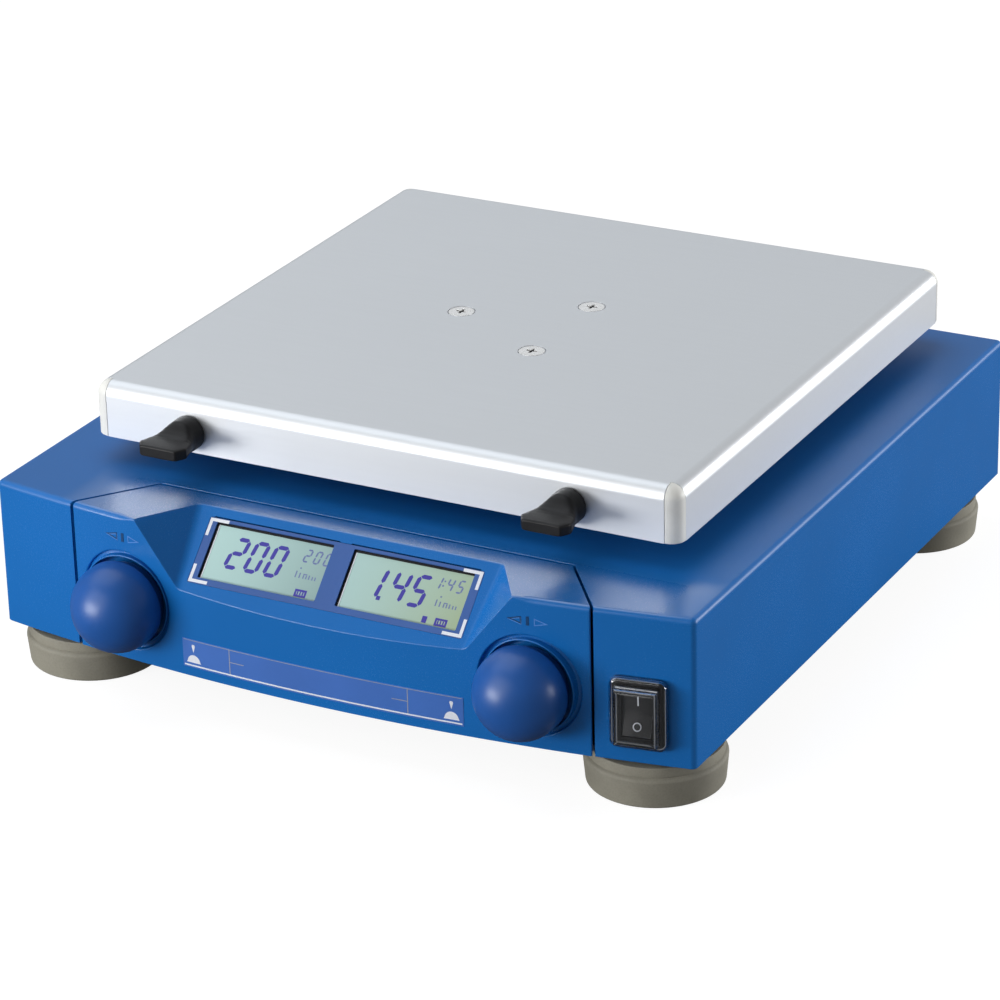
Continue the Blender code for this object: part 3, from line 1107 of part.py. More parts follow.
def main():
    make_cover()
    make_base()
    make_feet()
    make_console()
    make_display()
    make_switch()
    make_inlet()
    make_crank()
    make_motor()
    make_idlers()
    make_power_board()
    make_hub()
    make_tray()
    make_tray_screws()
    for side, sign in (("left", -1), ("right", 1)):
        make_knob(side, sign * KNOB_X)
        make_clamp(side, sign * CLAMP_X)


main()
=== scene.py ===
"""Dresses the frame of a benchtop orbital shaker with finished pieces, materials, a floor and soft light.

Shapes are worked out in millimetres in the housing's own frame: x to the right, y to the back, z up, zero
at the middle of the housing's bottom edge. place() turns them into metres in the frame of the CAD.
"""

import functools
import math
from types import SimpleNamespace

import bmesh
import bpy
import numpy as np
from mathutils import Matrix, Vector


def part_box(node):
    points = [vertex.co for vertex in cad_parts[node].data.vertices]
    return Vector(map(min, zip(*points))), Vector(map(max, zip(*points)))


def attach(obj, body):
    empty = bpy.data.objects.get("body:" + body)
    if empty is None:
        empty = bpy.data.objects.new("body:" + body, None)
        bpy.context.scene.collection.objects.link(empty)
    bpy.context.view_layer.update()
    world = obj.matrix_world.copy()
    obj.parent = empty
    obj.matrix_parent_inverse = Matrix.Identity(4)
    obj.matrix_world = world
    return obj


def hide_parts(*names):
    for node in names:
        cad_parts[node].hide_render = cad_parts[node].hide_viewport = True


bl_info = {
    "name": "Orbital shaker dressing",
    "version": (1, 0, 0),
    "blender": (4, 5, 0),
    "location": "View3D > Sidebar > Shaker",
    "description": "Builds the shaker's finished pieces, materials, floor and lights over its frame",
    "category": "Mesh",
}

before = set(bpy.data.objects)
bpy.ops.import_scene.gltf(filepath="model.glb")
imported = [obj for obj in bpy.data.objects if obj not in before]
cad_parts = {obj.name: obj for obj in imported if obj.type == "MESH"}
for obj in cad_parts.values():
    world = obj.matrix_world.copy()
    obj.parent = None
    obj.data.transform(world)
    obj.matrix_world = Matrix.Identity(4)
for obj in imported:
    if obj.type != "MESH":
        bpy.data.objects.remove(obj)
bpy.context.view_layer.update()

MM = 0.001
HALF_DEPTH = 134.5
COVER_LOW, COVER_HIGH = (np.array(corner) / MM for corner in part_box("housing_cover"))
ZERO = np.array([0.0, COVER_HIGH[1] - HALF_DEPTH, COVER_LOW[2]])
HALF_WIDTH = COVER_HIGH[0]
BOW = 12.5
FRONT_Y = -HALF_DEPTH
SEAM_FRONT_Y = FRONT_Y - 5
SEAM_BACK_Y = FRONT_Y + 21.2
SEAM_FRONT_X = 100.4
SEAM_BACK_X = 80.5
SEAM_SLANT = (SEAM_FRONT_X - SEAM_BACK_X) / (SEAM_BACK_Y - SEAM_FRONT_Y)
KNOB_X = 78.3
KNOB_Z = 22.6
DISPLAY_Y = FRONT_Y + 12.4
DISPLAY_ANGLE = math.radians(44.4)
FLARE_ANGLE = math.radians(43.5)
TRAY_X = 0.3
TRAY_Y = 10.3
TRAY_HALF = 113.3
TRAY_HALF_WIDE = 114.0
TRAY_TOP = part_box("tray")[1][2] / MM - COVER_LOW[2]
TRAY_BOTTOM = TRAY_TOP - 20.1
TRAY_CORNER = 5.8
POST_SIDE = 5.3
CLAMP_X = 74.2
CLAMP_Z = TRAY_TOP - 12.4
HUB_Y = 12.3
TOP_Z = 54.3
SOLE_Z = -16.6
FILM_WIDTH, FILM_LENGTH, FILM_MIDDLE = 106.6, 24.6, -16.2
CELL_X, CELL_MIDDLE = 27.0, -15.65
LABEL_TOP = 0.14
SIDES = {"left": -1, "right": 1}


# Sizes and colours that the panel shows

def length(name, description, millimetres):
    """A length of the panel, stated in millimetres and kept in metres."""
    return bpy.props.FloatProperty(name=name, description=description, default=millimetres * MM, min=0.0,
                                   unit="LENGTH", subtype="DISTANCE", precision=5)


def colour(name, description, red, green, blue):
    return bpy.props.FloatVectorProperty(name=name, description=description, default=(red, green, blue),
                                         size=3, min=0.0, max=1.0, subtype="COLOR")


class ShakerSizes(bpy.types.PropertyGroup):
    """Sizes of the finished pieces."""
    seam: length("Seam", "Half the gap between the cover and the console panel", 0.55)
    seam_edge: length("Seam edge", "Rounding of the two edges along the seam", 0.45)
    wall: length("Wall", "Thickness of the moulded walls", 2.6)
    edge: length("Top edge", "Rounding of the housing's top edge", 2.0)
    corner: length("Upright corner", "Rounding of the housing's upright corners", 2.2)
    crease: length("Display crease", "Rounding where the display's dish breaks through the console", 0.7)
    fillet: length("Display fillet", "Hollow rounding between the dish's floor and its flares", 4.0)
    dish: length("Dish ring", "Outer radius of the ring round each knob", 20.7)
    lip: length("Dish lip", "Rounding of the dish's lip", 0.6)
    knob: length("Knob", "Radius of the domed knobs", 16.0)
    film: length("Film", "Thickness of the printed film", 0.6)
    print_lift: length("Print", "Height of printed marks over what carries them", 0.03)
    sheet: length("Sheet", "Thickness of the tray's sheet", 2.0)
    bend: length("Bend", "Outer radius of the tray's bends", 5.0)
    foot: length("Foot", "Radius of the rubber feet", 24.5)
    skin: length("Switch cover", "Wall of the switch's clear cover", 0.45)


class ShakerColours(bpy.types.PropertyGroup):
    """Colours of the finished pieces."""
    housing: colour("Housing", "Moulded blue of the cover and the console panel", 0.006, 0.140, 0.465)
    knob: colour("Knobs", "Satin blue of the knobs", 0.010, 0.088, 0.350)
    film: colour("Film", "Printed violet-blue of the display film and the label strip", 0.032, 0.104, 0.350)
    ink: colour("Print", "White print", 0.80, 0.83, 0.90)
    glass_left: colour("Left display", "Ground of the left display", 0.47, 0.68, 0.66)
    glass_right: colour("Right display", "Ground of the right display", 0.38, 0.47, 0.28)
    digit: colour("Digits", "Segments of the displays", 0.050, 0.040, 0.330)
    metal: colour("Tray", "Blasted aluminium of the tray", 0.775, 0.80, 0.83)
    post: colour("Corner pieces", "Plastic of the tray's corner pieces", 0.84, 0.84, 0.80)
    rubber: colour("Feet", "Rubber of the feet", 0.265, 0.252, 0.205)
    black: colour("Black", "Black plastic of the clamps, the switch and the inlet", 0.008, 0.008, 0.009)


def sizes():
    """The panel's sizes in millimetres, by name."""
    group = bpy.context.scene.shaker_sizes
    return SimpleNamespace(**{name: getattr(group, name) / MM for name in ShakerSizes.__annotations__})


def colours():
    """The panel's colours, by name."""
    group = bpy.context.scene.shaker_colours
    return SimpleNamespace(**{name: tuple(getattr(group, name)) for name in ShakerColours.__annotations__})


# Shader maths and materials

class Wire:
    """One output of a node. Python's operators on it add Math nodes to its tree."""

    def __init__(self, nodes, socket):
        self.nodes = nodes
        self.socket = socket

    def step(self, operation, *values):
        return self.nodes.node("Math", {"operation": operation}, dict(enumerate(values)))

    def __add__(self, other):
        return self.step("ADD", self, other)

    def __sub__(self, other):
        return self.step("SUBTRACT", self, other)

    def __rsub__(self, other):
        return self.step("SUBTRACT", other, self)

    def __mul__(self, other):
        return self.step("MULTIPLY", self, other)

    def __pow__(self, other):
        return self.step("POWER", self, other)

    __radd__ = __add__
    __rmul__ = __mul__

    def over(self, edge):
        """1 where the value is over the edge, 0 elsewhere."""
        return self.step("GREATER_THAN", self, edge)

    def between(self, low, high):
        """0 below low, 1 above high, a straight ramp between them."""
        limits = {"Value": self, "From Min": low, "From Max": high}
        return self.nodes.node("MapRange", {"clamp": True}, limits)


class Nodes:
    """The nodes of a material or a world."""

    def __init__(self, owner):
        owner.use_nodes = True
        self.tree = owner.node_tree

    def join(self, socket, value):
        """Links a wire to a socket, or sets the socket to a plain value."""
        if isinstance(value, Wire):
            self.tree.links.new(value.socket, socket)
        elif isinstance(value, tuple) and len(value) == 3 and len(socket.default_value) == 4:
            socket.default_value = (*value, 1.0)
        else:
            socket.default_value = value

    def node(self, kind, settings=None, inputs=None, output=0):
        """Adds a node, makes its settings, feeds its sockets by name or number, and returns an output."""
        made = self.tree.nodes.new("ShaderNode" + kind)
        for key, value in (settings or {}).items():
            if key == "stops":
                ramp = made.color_ramp.elements
                while len(ramp) < len(value):
                    ramp.new(1.0)
                for element, (position, shade) in zip(ramp, value):
                    element.position = position
                    element.color = (*shade, 1.0)
            else:
                setattr(made, key, value)
        for key, value in (inputs or {}).items():
            self.join(made.inputs[key], value)
        return Wire(self, made.outputs[output])


class Finish(Nodes):
    """A procedural material round one Principled shader."""

    def __init__(self, name, base, roughness, metallic=0.0):
        self.material = bpy.data.materials.new(name)
        super().__init__(self.material)
        self.shader = self.tree.nodes["Principled BSDF"]
        self.feed("Base Color", base)
        self.feed("Roughness", roughness)
        self.feed("Metallic", metallic)

    def feed(self, name, value):
        self.join(self.shader.inputs[name], value)

    def mix(self, factor, first, second):
        """The first colour, turning into the second as the factor goes from 0 to 1."""
        return self.node("Mix", {"data_type": "RGBA"}, {0: factor, 6: first, 7: second}, 2)

    def where(self, stretch=(1.0, 1.0, 1.0)):
        """Object coordinates, stretched."""
        return self.node("Mapping", None, {"Vector": self.node("TexCoord", output=3), "Scale": stretch})

    def axis(self, index):
        """One of the object coordinates, in metres."""
        return self.node("SeparateXYZ", None, {0: self.node("TexCoord", output=3)}, index)

    def noise(self, scale, detail=2.0, stretch=(1.0, 1.0, 1.0)):
        return self.node("TexNoise", None, {"Vector": self.where(stretch), "Scale": scale, "Detail": detail})

    def cover(self, factor):
        """Lets what lies behind show through wherever the factor is below 1."""
        clear = self.node("BsdfTransparent")
        mixed = self.node("MixShader", None, {0: factor, 1: clear, 2: Wire(self, self.shader.outputs[0])})
        self.join(self.tree.nodes["Material Output"].inputs["Surface"], mixed)

    def bump(self, height, strength, distance):
        """Raises the surface's normal by a height pattern, distance in metres."""
        self.feed("Normal", self.node("Bump", None, {"Strength": strength, "Distance": distance,
                                                     "Height": height}))
        return self


def shade(base, factor):
    """A colour made darker or lighter by a factor."""
    return tuple(min(1.0, channel * factor) for channel in base)


@functools.cache
def moulded_blue():
    """Fine-grained moulded plastic: a faint cloud in its tone, finer grain in its gloss and relief. Its top
    face is matt, and rubbed glossy over the console, where hands rest."""
    base = colours().housing
    made = Finish("moulded_blue", base, 0.4)
    cloud = made.noise(14.0, 3.0)
    made.feed("Base Color", made.mix(cloud.between(0.3, 0.7), shade(base, 0.94), shade(base, 1.06)))
    grain = made.noise(2600.0, 2.0)
    rubbed_middle, rubbed_back, rubbed_half, fades_out = 16 * MM, -106, 105 * MM, 122 * MM
    _, back, top = place((0, rubbed_back, TOP_Z - 0.3))
    middle = 1 - ((made.axis(0) - rubbed_middle) ** 2).between(rubbed_half ** 2, fades_out ** 2)
    front = made.axis(1).between(back, back - 6 * MM) * middle
    matt = made.axis(2).between(top - 2 * MM, top - 1 * MM) * (1 - front)
    made.feed("Roughness", 0.20 + grain * 0.08 + cloud * 0.04 + matt * 0.18)
    made.feed("Specular IOR Level", 0.38)
    made.feed("Coat Weight", made.axis(2).over(top) * front)
    made.feed("Coat IOR", 1.7)
    made.feed("Coat Roughness", 0.24)
    return made.bump(grain, 0.03, 0.00005).material


@functools.cache
def knob_blue():
    """Satin knob plastic."""
    base = colours().knob
    made = Finish("knob_blue", base, 0.42)
    cloud = made.noise(60.0, 3.0)
    made.feed("Base Color", made.mix(cloud.between(0.3, 0.7), shade(base, 0.94), shade(base, 1.08)))
    grain = made.noise(3200.0, 1.0)
    made.feed("Roughness", 0.32 + grain * 0.08)
    return made.bump(grain, 0.04, 0.00005).material


@functools.cache
def film_print(name="film_print", factor=1.0):
    """Printed polyester film: even ink under a fine matt surface."""
    base = shade(colours().film, factor)
    made = Finish(name, base, 0.4)
    grain = made.noise(4000.0, 1.0)
    cloud = made.noise(45.0, 2.0)
    made.feed("Base Color", made.mix(cloud.between(0.35, 0.65), shade(base, 0.95), shade(base, 1.05)))
    made.feed("Roughness", 0.34 + grain * 0.10)
    return made.bump(grain, 0.06, 0.00004).material


def screen_ink(name, factor):
    """Screen-printed ink, a little uneven, as dense as its factor."""
    base = shade(colours().ink, factor)
    made = Finish(name, base, 0.5)
    grain = made.noise(1500.0, 2.0)
    made.feed("Base Color", made.mix(grain.between(0.3, 0.7), shade(base, 0.93), base))
    made.feed("Roughness", 0.45 + grain * 0.12)
    return made.material


@functools.cache
def plain_ink():
    return screen_ink("white_print", 1.0)


@functools.cache
def faint_ink():
    return screen_ink("faint_print", 0.42)


def display_glass(side, base, far):
    """Display ground: its tone drifts across the cell, under a glossy pane with a fine pixel grain."""
    made = Finish("display_ground_" + side, base, 0.2)
    low, high = (corner[0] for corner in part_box("display_cell_" + side))
    across = made.axis(0).between(low, high)
    down = made.axis(2).between(*(corner[2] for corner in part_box("display_cell_" + side)))
    tone = made.mix(across ** 1.3, base, far)
    tone = made.mix(down * 0.2, tone, shade(base, 1.2))
    grain = made.noise(2500.0, 1.0)
    made.feed("Base Color", made.mix(grain * 0.12, tone, shade(base, 0.8)))
    made.feed("Roughness", 0.16 + grain * 0.05)
    made.feed("Coat Weight", 0.3)
    return made.material


@functools.cache
def digit_ink():
    """Liquid crystal segments, a little paler at their grain."""
    base = colours().digit
    made = Finish("digit_ink", base, 0.3)
    grain = made.noise(1800.0, 1.0)
    made.feed("Base Color", made.mix(grain * 0.3, base, shade(base, 1.4)))
    return made.material


@functools.cache
def faint_digit():
    """Small segments, less dense than the large ones."""
    dense, clear = 0.72, 0.28 * 0.8
    base = tuple(dense * a + clear * b for a, b in zip(colours().digit, colours().glass_left))
    made = Finish("faint_digit", base, 0.3)
    grain = made.noise(1800.0, 1.0)
    made.feed("Base Color", made.mix(grain * 0.3, base, shade(base, 1.2)))
    return made.material


@functools.cache
def blasted_metal():
    """Fine blasted and anodised aluminium: a short grain, faint rolling streaks and a broad cloud."""
    base = colours().metal
    made = Finish("blasted_aluminium", base, 0.4, metallic=0.72)
    grain = made.noise(1600.0, 2.0)
    streak = made.noise(500.0, 2.0, (0.05, 1.0, 1.0))
    cloud = made.noise(9.0, 3.0)
    tone = made.mix(streak.between(0.3, 0.7), shade(base, 0.994), shade(base, 1.006))
    made.feed("Base Color", made.mix(cloud.between(0.35, 0.7) * 0.2, tone, shade(base, 0.96)))
    made.feed("Roughness", 0.40 + grain * 0.10 + streak * 0.012)
    return made.bump(grain, 0.06, 0.00004).material


@functools.cache
def post_plastic():
    """Light grey plastic with a soft marbling."""
    base = colours().post
    made = Finish("post_plastic", base, 0.45)
    cloud = made.noise(180.0, 3.0)
    made.feed("Base Color", made.mix(cloud.between(0.3, 0.7), shade(base, 0.96), shade(base, 1.04)))
    made.feed("Roughness", 0.38 + cloud * 0.12)
    return made.bump(cloud, 0.1, 0.0001).material


@functools.cache
def foot_rubber():
    """Matt rubber with fine pores and a dusty cloud."""
    base = colours().rubber
    made = Finish("foot_rubber", base, 0.75)
    cloud = made.noise(55.0, 4.0)
    pores = made.noise(1500.0, 3.0)
    tone = made.mix(cloud.between(0.3, 0.7), shade(base, 0.84), shade(base, 1.16))
    made.feed("Base Color", made.mix(pores.between(0.45, 0.8) * 0.4, tone, shade(base, 0.75)))
    made.feed("Roughness", 0.62 + pores * 0.25)
    return made.bump(pores, 0.25, 0.00012).material


@functools.cache
def black_plastic():
    """Black plastic with a fine spark-eroded grain."""
    base = colours().black
    made = Finish("black_plastic", base, 0.4)
    grain = made.noise(1800.0, 3.0)
    cloud = made.noise(120.0, 2.0)
    made.feed("Base Color", made.mix(cloud.between(0.3, 0.7), base, shade(base, 1.8)))
    made.feed("Roughness", 0.34 + grain * 0.14)
    made.feed("Specular IOR Level", 0.25)
    return made.bump(grain, 0.12, 0.00008).material


@functools.cache
def rocker_plastic():
    """The rocker's softer, greyer black."""
    base = shade(colours().black, 2.0)
    made = Finish("rocker_plastic", base, 0.4)
    grain = made.noise(1500.0, 3.0)
    made.feed("Base Color", made.mix(grain.between(0.3, 0.7), base, shade(base, 1.2)))
    made.feed("Roughness", 0.36 + grain * 0.14)
    return made.bump(grain, 0.14, 0.0001).material


@functools.cache
def clear_silicone():
    """Clear skin: see-through, with the gloss of its surface, which grows where it is seen along."""
    made = Finish("clear_silicone", (0.92, 0.94, 0.97), 0.08, metallic=1.0)
    gloss = made.node("Fresnel", None, {"IOR": 1.46})
    cloud = made.noise(220.0, 2.0)
    made.feed("Roughness", 0.07 + cloud * 0.08)
    made.bump(cloud, 0.15, 0.0002)
    made.cover(gloss * 1.6 - 0.02)
    return made.material


def steel(name, base, roughness, streak_scale, metallic=1.0):
    """Turned or plated metal with fine streaks."""
    made = Finish(name, base, roughness, metallic=metallic)
    streak = made.noise(streak_scale, 3.0, (1.0, 1.0, 0.15))
    made.feed("Base Color", made.mix(streak.between(0.3, 0.7), shade(base, 0.9), shade(base, 1.06)))
    made.feed("Roughness", roughness - 0.05 + streak * 0.14)
    return made.bump(streak, 0.1, 0.00005).material


@functools.cache
def screw_steel():
    return steel("screw_steel", (0.98, 0.98, 0.97), 0.26, 900.0, 0.5)


@functools.cache
def turned_steel():
    return steel("turned_steel", (0.52, 0.53, 0.55), 0.30, 600.0)


@functools.cache
def plated_sheet():
    """Zinc-plated sheet with its broad spangle."""
    base = (0.50, 0.52, 0.55)
    made = Finish("plated_sheet", base, 0.4, metallic=1.0)
    spangle = made.node("TexVoronoi", {"feature": "F1"}, {"Vector": made.where(), "Scale": 90.0})
    cloud = made.noise(40.0, 3.0)
    made.feed("Base Color", made.mix(spangle.between(0.1, 0.8), shade(base, 0.85), shade(base, 1.12)))
    made.feed("Roughness", 0.34 + cloud * 0.16)
    return made.bump(cloud, 0.1, 0.0001).material


@functools.cache
def cast_metal():
    """Sand-cast light alloy."""
    base = (0.30, 0.31, 0.33)
    made = Finish("cast_metal", base, 0.55, metallic=0.85)
    grain = made.noise(420.0, 4.0)
    made.feed("Base Color", made.mix(grain.between(0.3, 0.7), shade(base, 0.8), shade(base, 1.15)))
    made.feed("Roughness", 0.48 + grain * 0.2)
    return made.bump(grain, 0.35, 0.0003).material


@functools.cache
def circuit_board():
    """Green solder mask over a net of tracks."""
    made = Finish("circuit_board", (0.01, 0.11, 0.05), 0.35)
    tracks = made.node("TexVoronoi", {"feature": "DISTANCE_TO_EDGE"},
                       {"Vector": made.where(), "Scale": 260.0})
    lines = 1 - tracks.between(0.05, 0.09)
    made.feed("Base Color", made.mix(lines, (0.006, 0.075, 0.035), (0.02, 0.19, 0.08)))
    made.feed("Roughness", 0.30 + lines * 0.12)
    return made.bump(lines, 0.3, 0.00005).material


@functools.cache
def belt_rubber():
    """Black belt with a fine woven back."""
    made = Finish("belt_rubber", (0.016, 0.016, 0.016), 0.75)
    weave = made.node("TexWave", {"bands_direction": "DIAGONAL"}, {"Vector": made.where(), "Scale": 500.0})
    made.feed("Base Color", made.mix(weave, (0.012, 0.012, 0.012), (0.03, 0.03, 0.03)))
    made.feed("Roughness", 0.65 + weave * 0.2)
    return made.bump(weave, 0.3, 0.0001).material


# Mesh building

def place(points):
    """Millimetres in the housing's frame to metres in the frame of the CAD."""
    return (np.asarray(points, float) + ZERO) * MM


def straight(points):
    """The housing's own frame: points stay as they are."""
    return points


def quads(index):
    """The faces between the neighbours of a grid of point numbers."""
    return np.stack([index[:-1, :-1], index[:-1, 1:], index[1:, 1:], index[1:, :-1]], axis=-1).reshape(-1, 4)


def add_mesh(name, points, faces, mapper=straight):
    """A mesh through points that a mapper takes from their own frame to the housing's, its doubles merged
    and its faces turned outwards."""
    mesh = bpy.data.meshes.new(name)
    mesh.from_pydata(place(mapper(np.asarray(points, float).reshape(-1, 3))), [], faces)
    shape = bmesh.new()
    shape.from_mesh(mesh)
    bmesh.ops.remove_doubles(shape, verts=shape.verts, dist=1e-7)
    bmesh.ops.recalc_face_normals(shape, faces=shape.faces)
    shape.to_mesh(mesh)
    shape.free()
    piece = bpy.data.objects.new(name, mesh)
    bpy.context.scene.collection.objects.link(piece)
    return piece


def skin(name, grid, mapper=straight, ring=False):
    """A solid through a grid of points [rows, columns, 3]: faces between neighbours, closed round its
    columns, and closed round its rows too (ring) or with a flat face over the first and the last row."""
    rows, columns = grid.shape[:2]
    index = np.arange(rows * columns).reshape(rows, columns)
    looped = np.vstack([index, index[:1]]) if ring else index
    faces = quads(np.hstack([looped, looped[:, :1]])).tolist()
    if not ring:
        faces += [index[0, ::-1].tolist(), index[-1].tolist()]
    return add_mesh(name, grid, faces, mapper)


def turned(name, profile, mapper=straight, columns=96, ring=False):
    """A profile of (radius, height) carried round an axis: x is radius times the cosine and y radius
    times the sine of the turn, z the height. A closed profile makes a ring."""
    radius, height = np.asarray(profile, float).T
    turn = np.linspace(0, 2 * math.pi, columns, endpoint=False)
    grid = np.stack([np.outer(radius, np.cos(turn)), np.outer(radius, np.sin(turn)),
                     np.repeat(height[:, None], columns, axis=1)], axis=-1)
    return skin(name, grid, mapper, ring)


def moved_in(corners, inset):
    """A counter-clockwise polygon with its edges moved inwards: each corner moves by the sum of its two
    edge normals over one plus their product."""
    ahead = np.roll(corners, -1, axis=0) - corners
    ahead /= np.linalg.norm(ahead, axis=1, keepdims=True)
    normal = np.column_stack([-ahead[:, 1], ahead[:, 0]])
    before = np.roll(normal, 1, axis=0)
    return corners + inset * (normal + before) / (1 + np.sum(normal * before, axis=1, keepdims=True))


def arc(centre, radius, start, end, steps):
    """Points round a centre from one angle to another, in degrees."""
    turn = np.radians(np.linspace(start, end, steps + 1))
    return np.column_stack([centre[0] + radius * np.cos(turn), centre[1] + radius * np.sin(turn)])


def rounded(corners, radii, steps=6):
    """Outline of a polygon with round corners: each corner gives way to the arc that touches both of
    its edges at radius over the tangent of half the corner's angle."""
    corners = np.asarray(corners, float)
    made = []
    for before, at, after, radius in zip(np.roll(corners, 1, 0), corners, np.roll(corners, -1, 0),
                                         np.broadcast_to(radii, len(corners))):
        if radius <= 0:
            made.append(at[None])
            continue
        back = (before - at) / np.linalg.norm(before - at)
        on = (after - at) / np.linalg.norm(after - at)
        half = math.acos(np.clip(back @ on, -1, 1)) / 2
        centre = at + (back + on) / np.linalg.norm(back + on) * radius / math.sin(half)
        spokes = [at + way * radius / math.tan(half) - centre for way in (back, on)]
        first, last = (math.degrees(math.atan2(*spoke[::-1])) for spoke in spokes)
        turn = (last - first + 180) % 360 - 180
        made.append(arc(centre, radius, first, first + turn, steps))
    return np.vstack(made)


def rectangle(width, height, centre=(0, 0)):
    """The corners of a rectangle, counter-clockwise."""
    x, y = centre
    return [(x + sx * width / 2, y + sy * height / 2) for sx, sy in ((1, -1), (1, 1), (-1, 1), (-1, -1))]


def slab(name, corners, rings, mapper=straight, radius=0.0, steps=6):
    """A block over a plan polygon with rounded corners. Each ring is the polygon moved inwards by an
    inset, at a height, and its corner radii shrink by the inset down to a least radius."""
    corners = np.asarray(corners, float)
    radii = np.broadcast_to(radius, len(corners))
    least = 0.03
    grid = []
    for inset, height in rings:
        shrunk = np.where(radii > 0, np.maximum(radii - inset, least), 0)
        outline = rounded(moved_in(corners, inset), shrunk, steps)
        grid.append(np.column_stack([outline, np.full(len(outline), height)]))
    return skin(name, np.stack(grid), mapper)


def rim(height, radius, inset=0.0, steps=4, rising=True):
    """Rings round a slab's edge: a quarter circle from its side to its level face, or back."""
    turn = np.linspace(0, math.pi / 2, steps + 1)
    sign = 1 if rising else -1
    rings = [(inset + radius * (1 - math.cos(a)), height - sign * radius * (1 - math.sin(a))) for a in turn]
    return rings if rising else rings[::-1]


def pillow(bottom, top, radius, inset=0.0, steps=4):
    """Rings of a slab with both of its edges rounded."""
    return rim(bottom, radius, inset, steps, False) + rim(top, radius, inset, steps)


def plates(name, outlines, mapper, low, high, hoops=()):
    """Thin plates between two levels: each outline is one solid plate, and each hoop, an outer and an
    inner outline with equal counts, is an open ring."""
    points, faces = [], []
    shapes = [([outline, outline], [low, high]) for outline in outlines]
    shapes += [([outer, outer, inner, inner], [low, high, high, low]) for outer, inner in hoops]
    for rings, levels in shapes:
        count, base = len(rings[0]), sum(map(len, points))
        points += [np.column_stack([ring, np.full(count, level)]) for ring, level in zip(rings, levels)]
        index = base + np.arange(count * len(rings)).reshape(len(rings), count)
        if len(rings) == 2:
            faces += [index[0, ::-1].tolist(), index[1].tolist()]
        else:
            index = np.vstack([index, index[:1]])
        faces += quads(np.hstack([index, index[:, :1]])).tolist()
    return add_mesh(name, np.vstack(points), faces, mapper)


def hoop(outline, width):
    """An outline and the same outline moved inwards, for an open ring."""
    outline = np.asarray(outline, float)
    return outline, moved_in(outline, width)


def baked(piece):
    """Applies a piece's modifiers to its mesh."""
    graph = bpy.context.evaluated_depsgraph_get()
    graph.update()
    mesh = bpy.data.meshes.new_from_object(piece.evaluated_get(graph))
    piece.modifiers.clear()
    old, piece.data = piece.data, mesh
    bpy.data.meshes.remove(old)
    mesh.name = piece.name


def carve(piece, *cutters, operation="DIFFERENCE"):
    """Takes the cutters' shapes out of a piece, and drops the cutters."""
    for cutter in cutters:
        step = piece.modifiers.new("carve", "BOOLEAN")
        step.operation = operation
        step.solver = "EXACT"
        step.object = cutter
    baked(piece)
    for cutter in cutters:
        bpy.data.objects.remove(cutter, do_unlink=True)


def ease(piece, chosen, radius, segments=3, least=0.5):
    """Rounds the edges sharper than a least angle whose two ends satisfy a test on the mesh's points in
    millimetres."""
    mesh = piece.data
    count = len(mesh.vertices)
    points = np.empty(count * 3)
    mesh.vertices.foreach_get("co", points)
    on = chosen(points.reshape(-1, 3) / MM - ZERO)
    shape = bmesh.new()
    shape.from_mesh(mesh)
    weight = shape.edges.layers.float.new("bevel_weight_edge")
    for edge in shape.edges:
        sharp = len(edge.link_faces) == 2 and edge.calc_face_angle() > least
        edge[weight] = float(sharp and bool(on[edge.verts[0].index]) and bool(on[edge.verts[1].index]))
    shape.to_mesh(mesh)
    shape.free()
    bevel = piece.modifiers.new("eased_edges", "BEVEL")
    bevel.limit_method = "WEIGHT"
    bevel.width = radius * MM
    bevel.segments = segments
    baked(piece)


def hand_over(piece, material, body, node=None, sharp=35.0):
    """Gives a piece its material, smooth shading and body, and hides the CAD node that it stands for."""
    mesh = piece.data
    mesh.materials.clear()
    mesh.materials.append(material)
    mesh.polygons.foreach_set("use_smooth", np.ones(len(mesh.polygons), bool))
    mesh.set_sharp_from_angle(angle=math.radians(sharp))
    step = piece.modifiers.new("even_shading", "WEIGHTED_NORMAL")
    step.keep_sharp = True
    step.weight = 80
    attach(piece, body)
    if node:
        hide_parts(node)


def dress(node, material, bevel=0.0):
    """Gives a CAD node its material, and welds and eases its edges by modifiers."""
    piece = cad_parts[node]
    piece.data.materials.clear()
    piece.data.materials.append(material)
    if bevel:
        weld = piece.modifiers.new("weld", "WELD")
        weld.merge_threshold = 1e-6
        step = piece.modifiers.new("eased_edges", "BEVEL")
        step.width = bevel * MM
        step.segments = 2
        step.limit_method = "ANGLE"
        step.angle_limit = math.radians(40)
        step.harden_normals = True


# Frames of the parts

def face_y(x):
    """The bowed front face: the bow's depth times one less the square of x over the half width."""
    return FRONT_Y - BOW * (1 - (np.asarray(x) / HALF_WIDTH) ** 2)


def on_face(points):
    """(x, z, out) on the bowed front face."""
    x, z, out = np.asarray(points, float).T
    slope = 2 * BOW * x / HALF_WIDTH ** 2
    size = np.hypot(1, slope)
    return np.column_stack([x + out * slope / size, face_y(x) - out / size, z])


def on_display(points):
    """(across, up the slope, out) on the display's sloping floor."""
    u, v, out = np.asarray(points, float).T
    c, s = math.cos(DISPLAY_ANGLE), math.sin(DISPLAY_ANGLE)
    return np.column_stack([u, DISPLAY_Y + v * c - out * s, TOP_Z + v * s + out * c])


def on_knob(x):
    """Maps (across, up, out) about a knob's axis, from the bowed face outwards."""
    return outward_frame(x, float(face_y(KNOB_X)), KNOB_Z)


def outward_frame(x, y, z, turn=0.0):
    """Maps (across, up, out) at a place on an upright face that looks along -y, turned about z."""
    c, s = math.cos(turn), math.sin(turn)

    def mapper(points):
        a, b, out = np.asarray(points, float).T
        return np.column_stack([x + a * c + out * s, y + a * s - out * c, z + b])

    return mapper


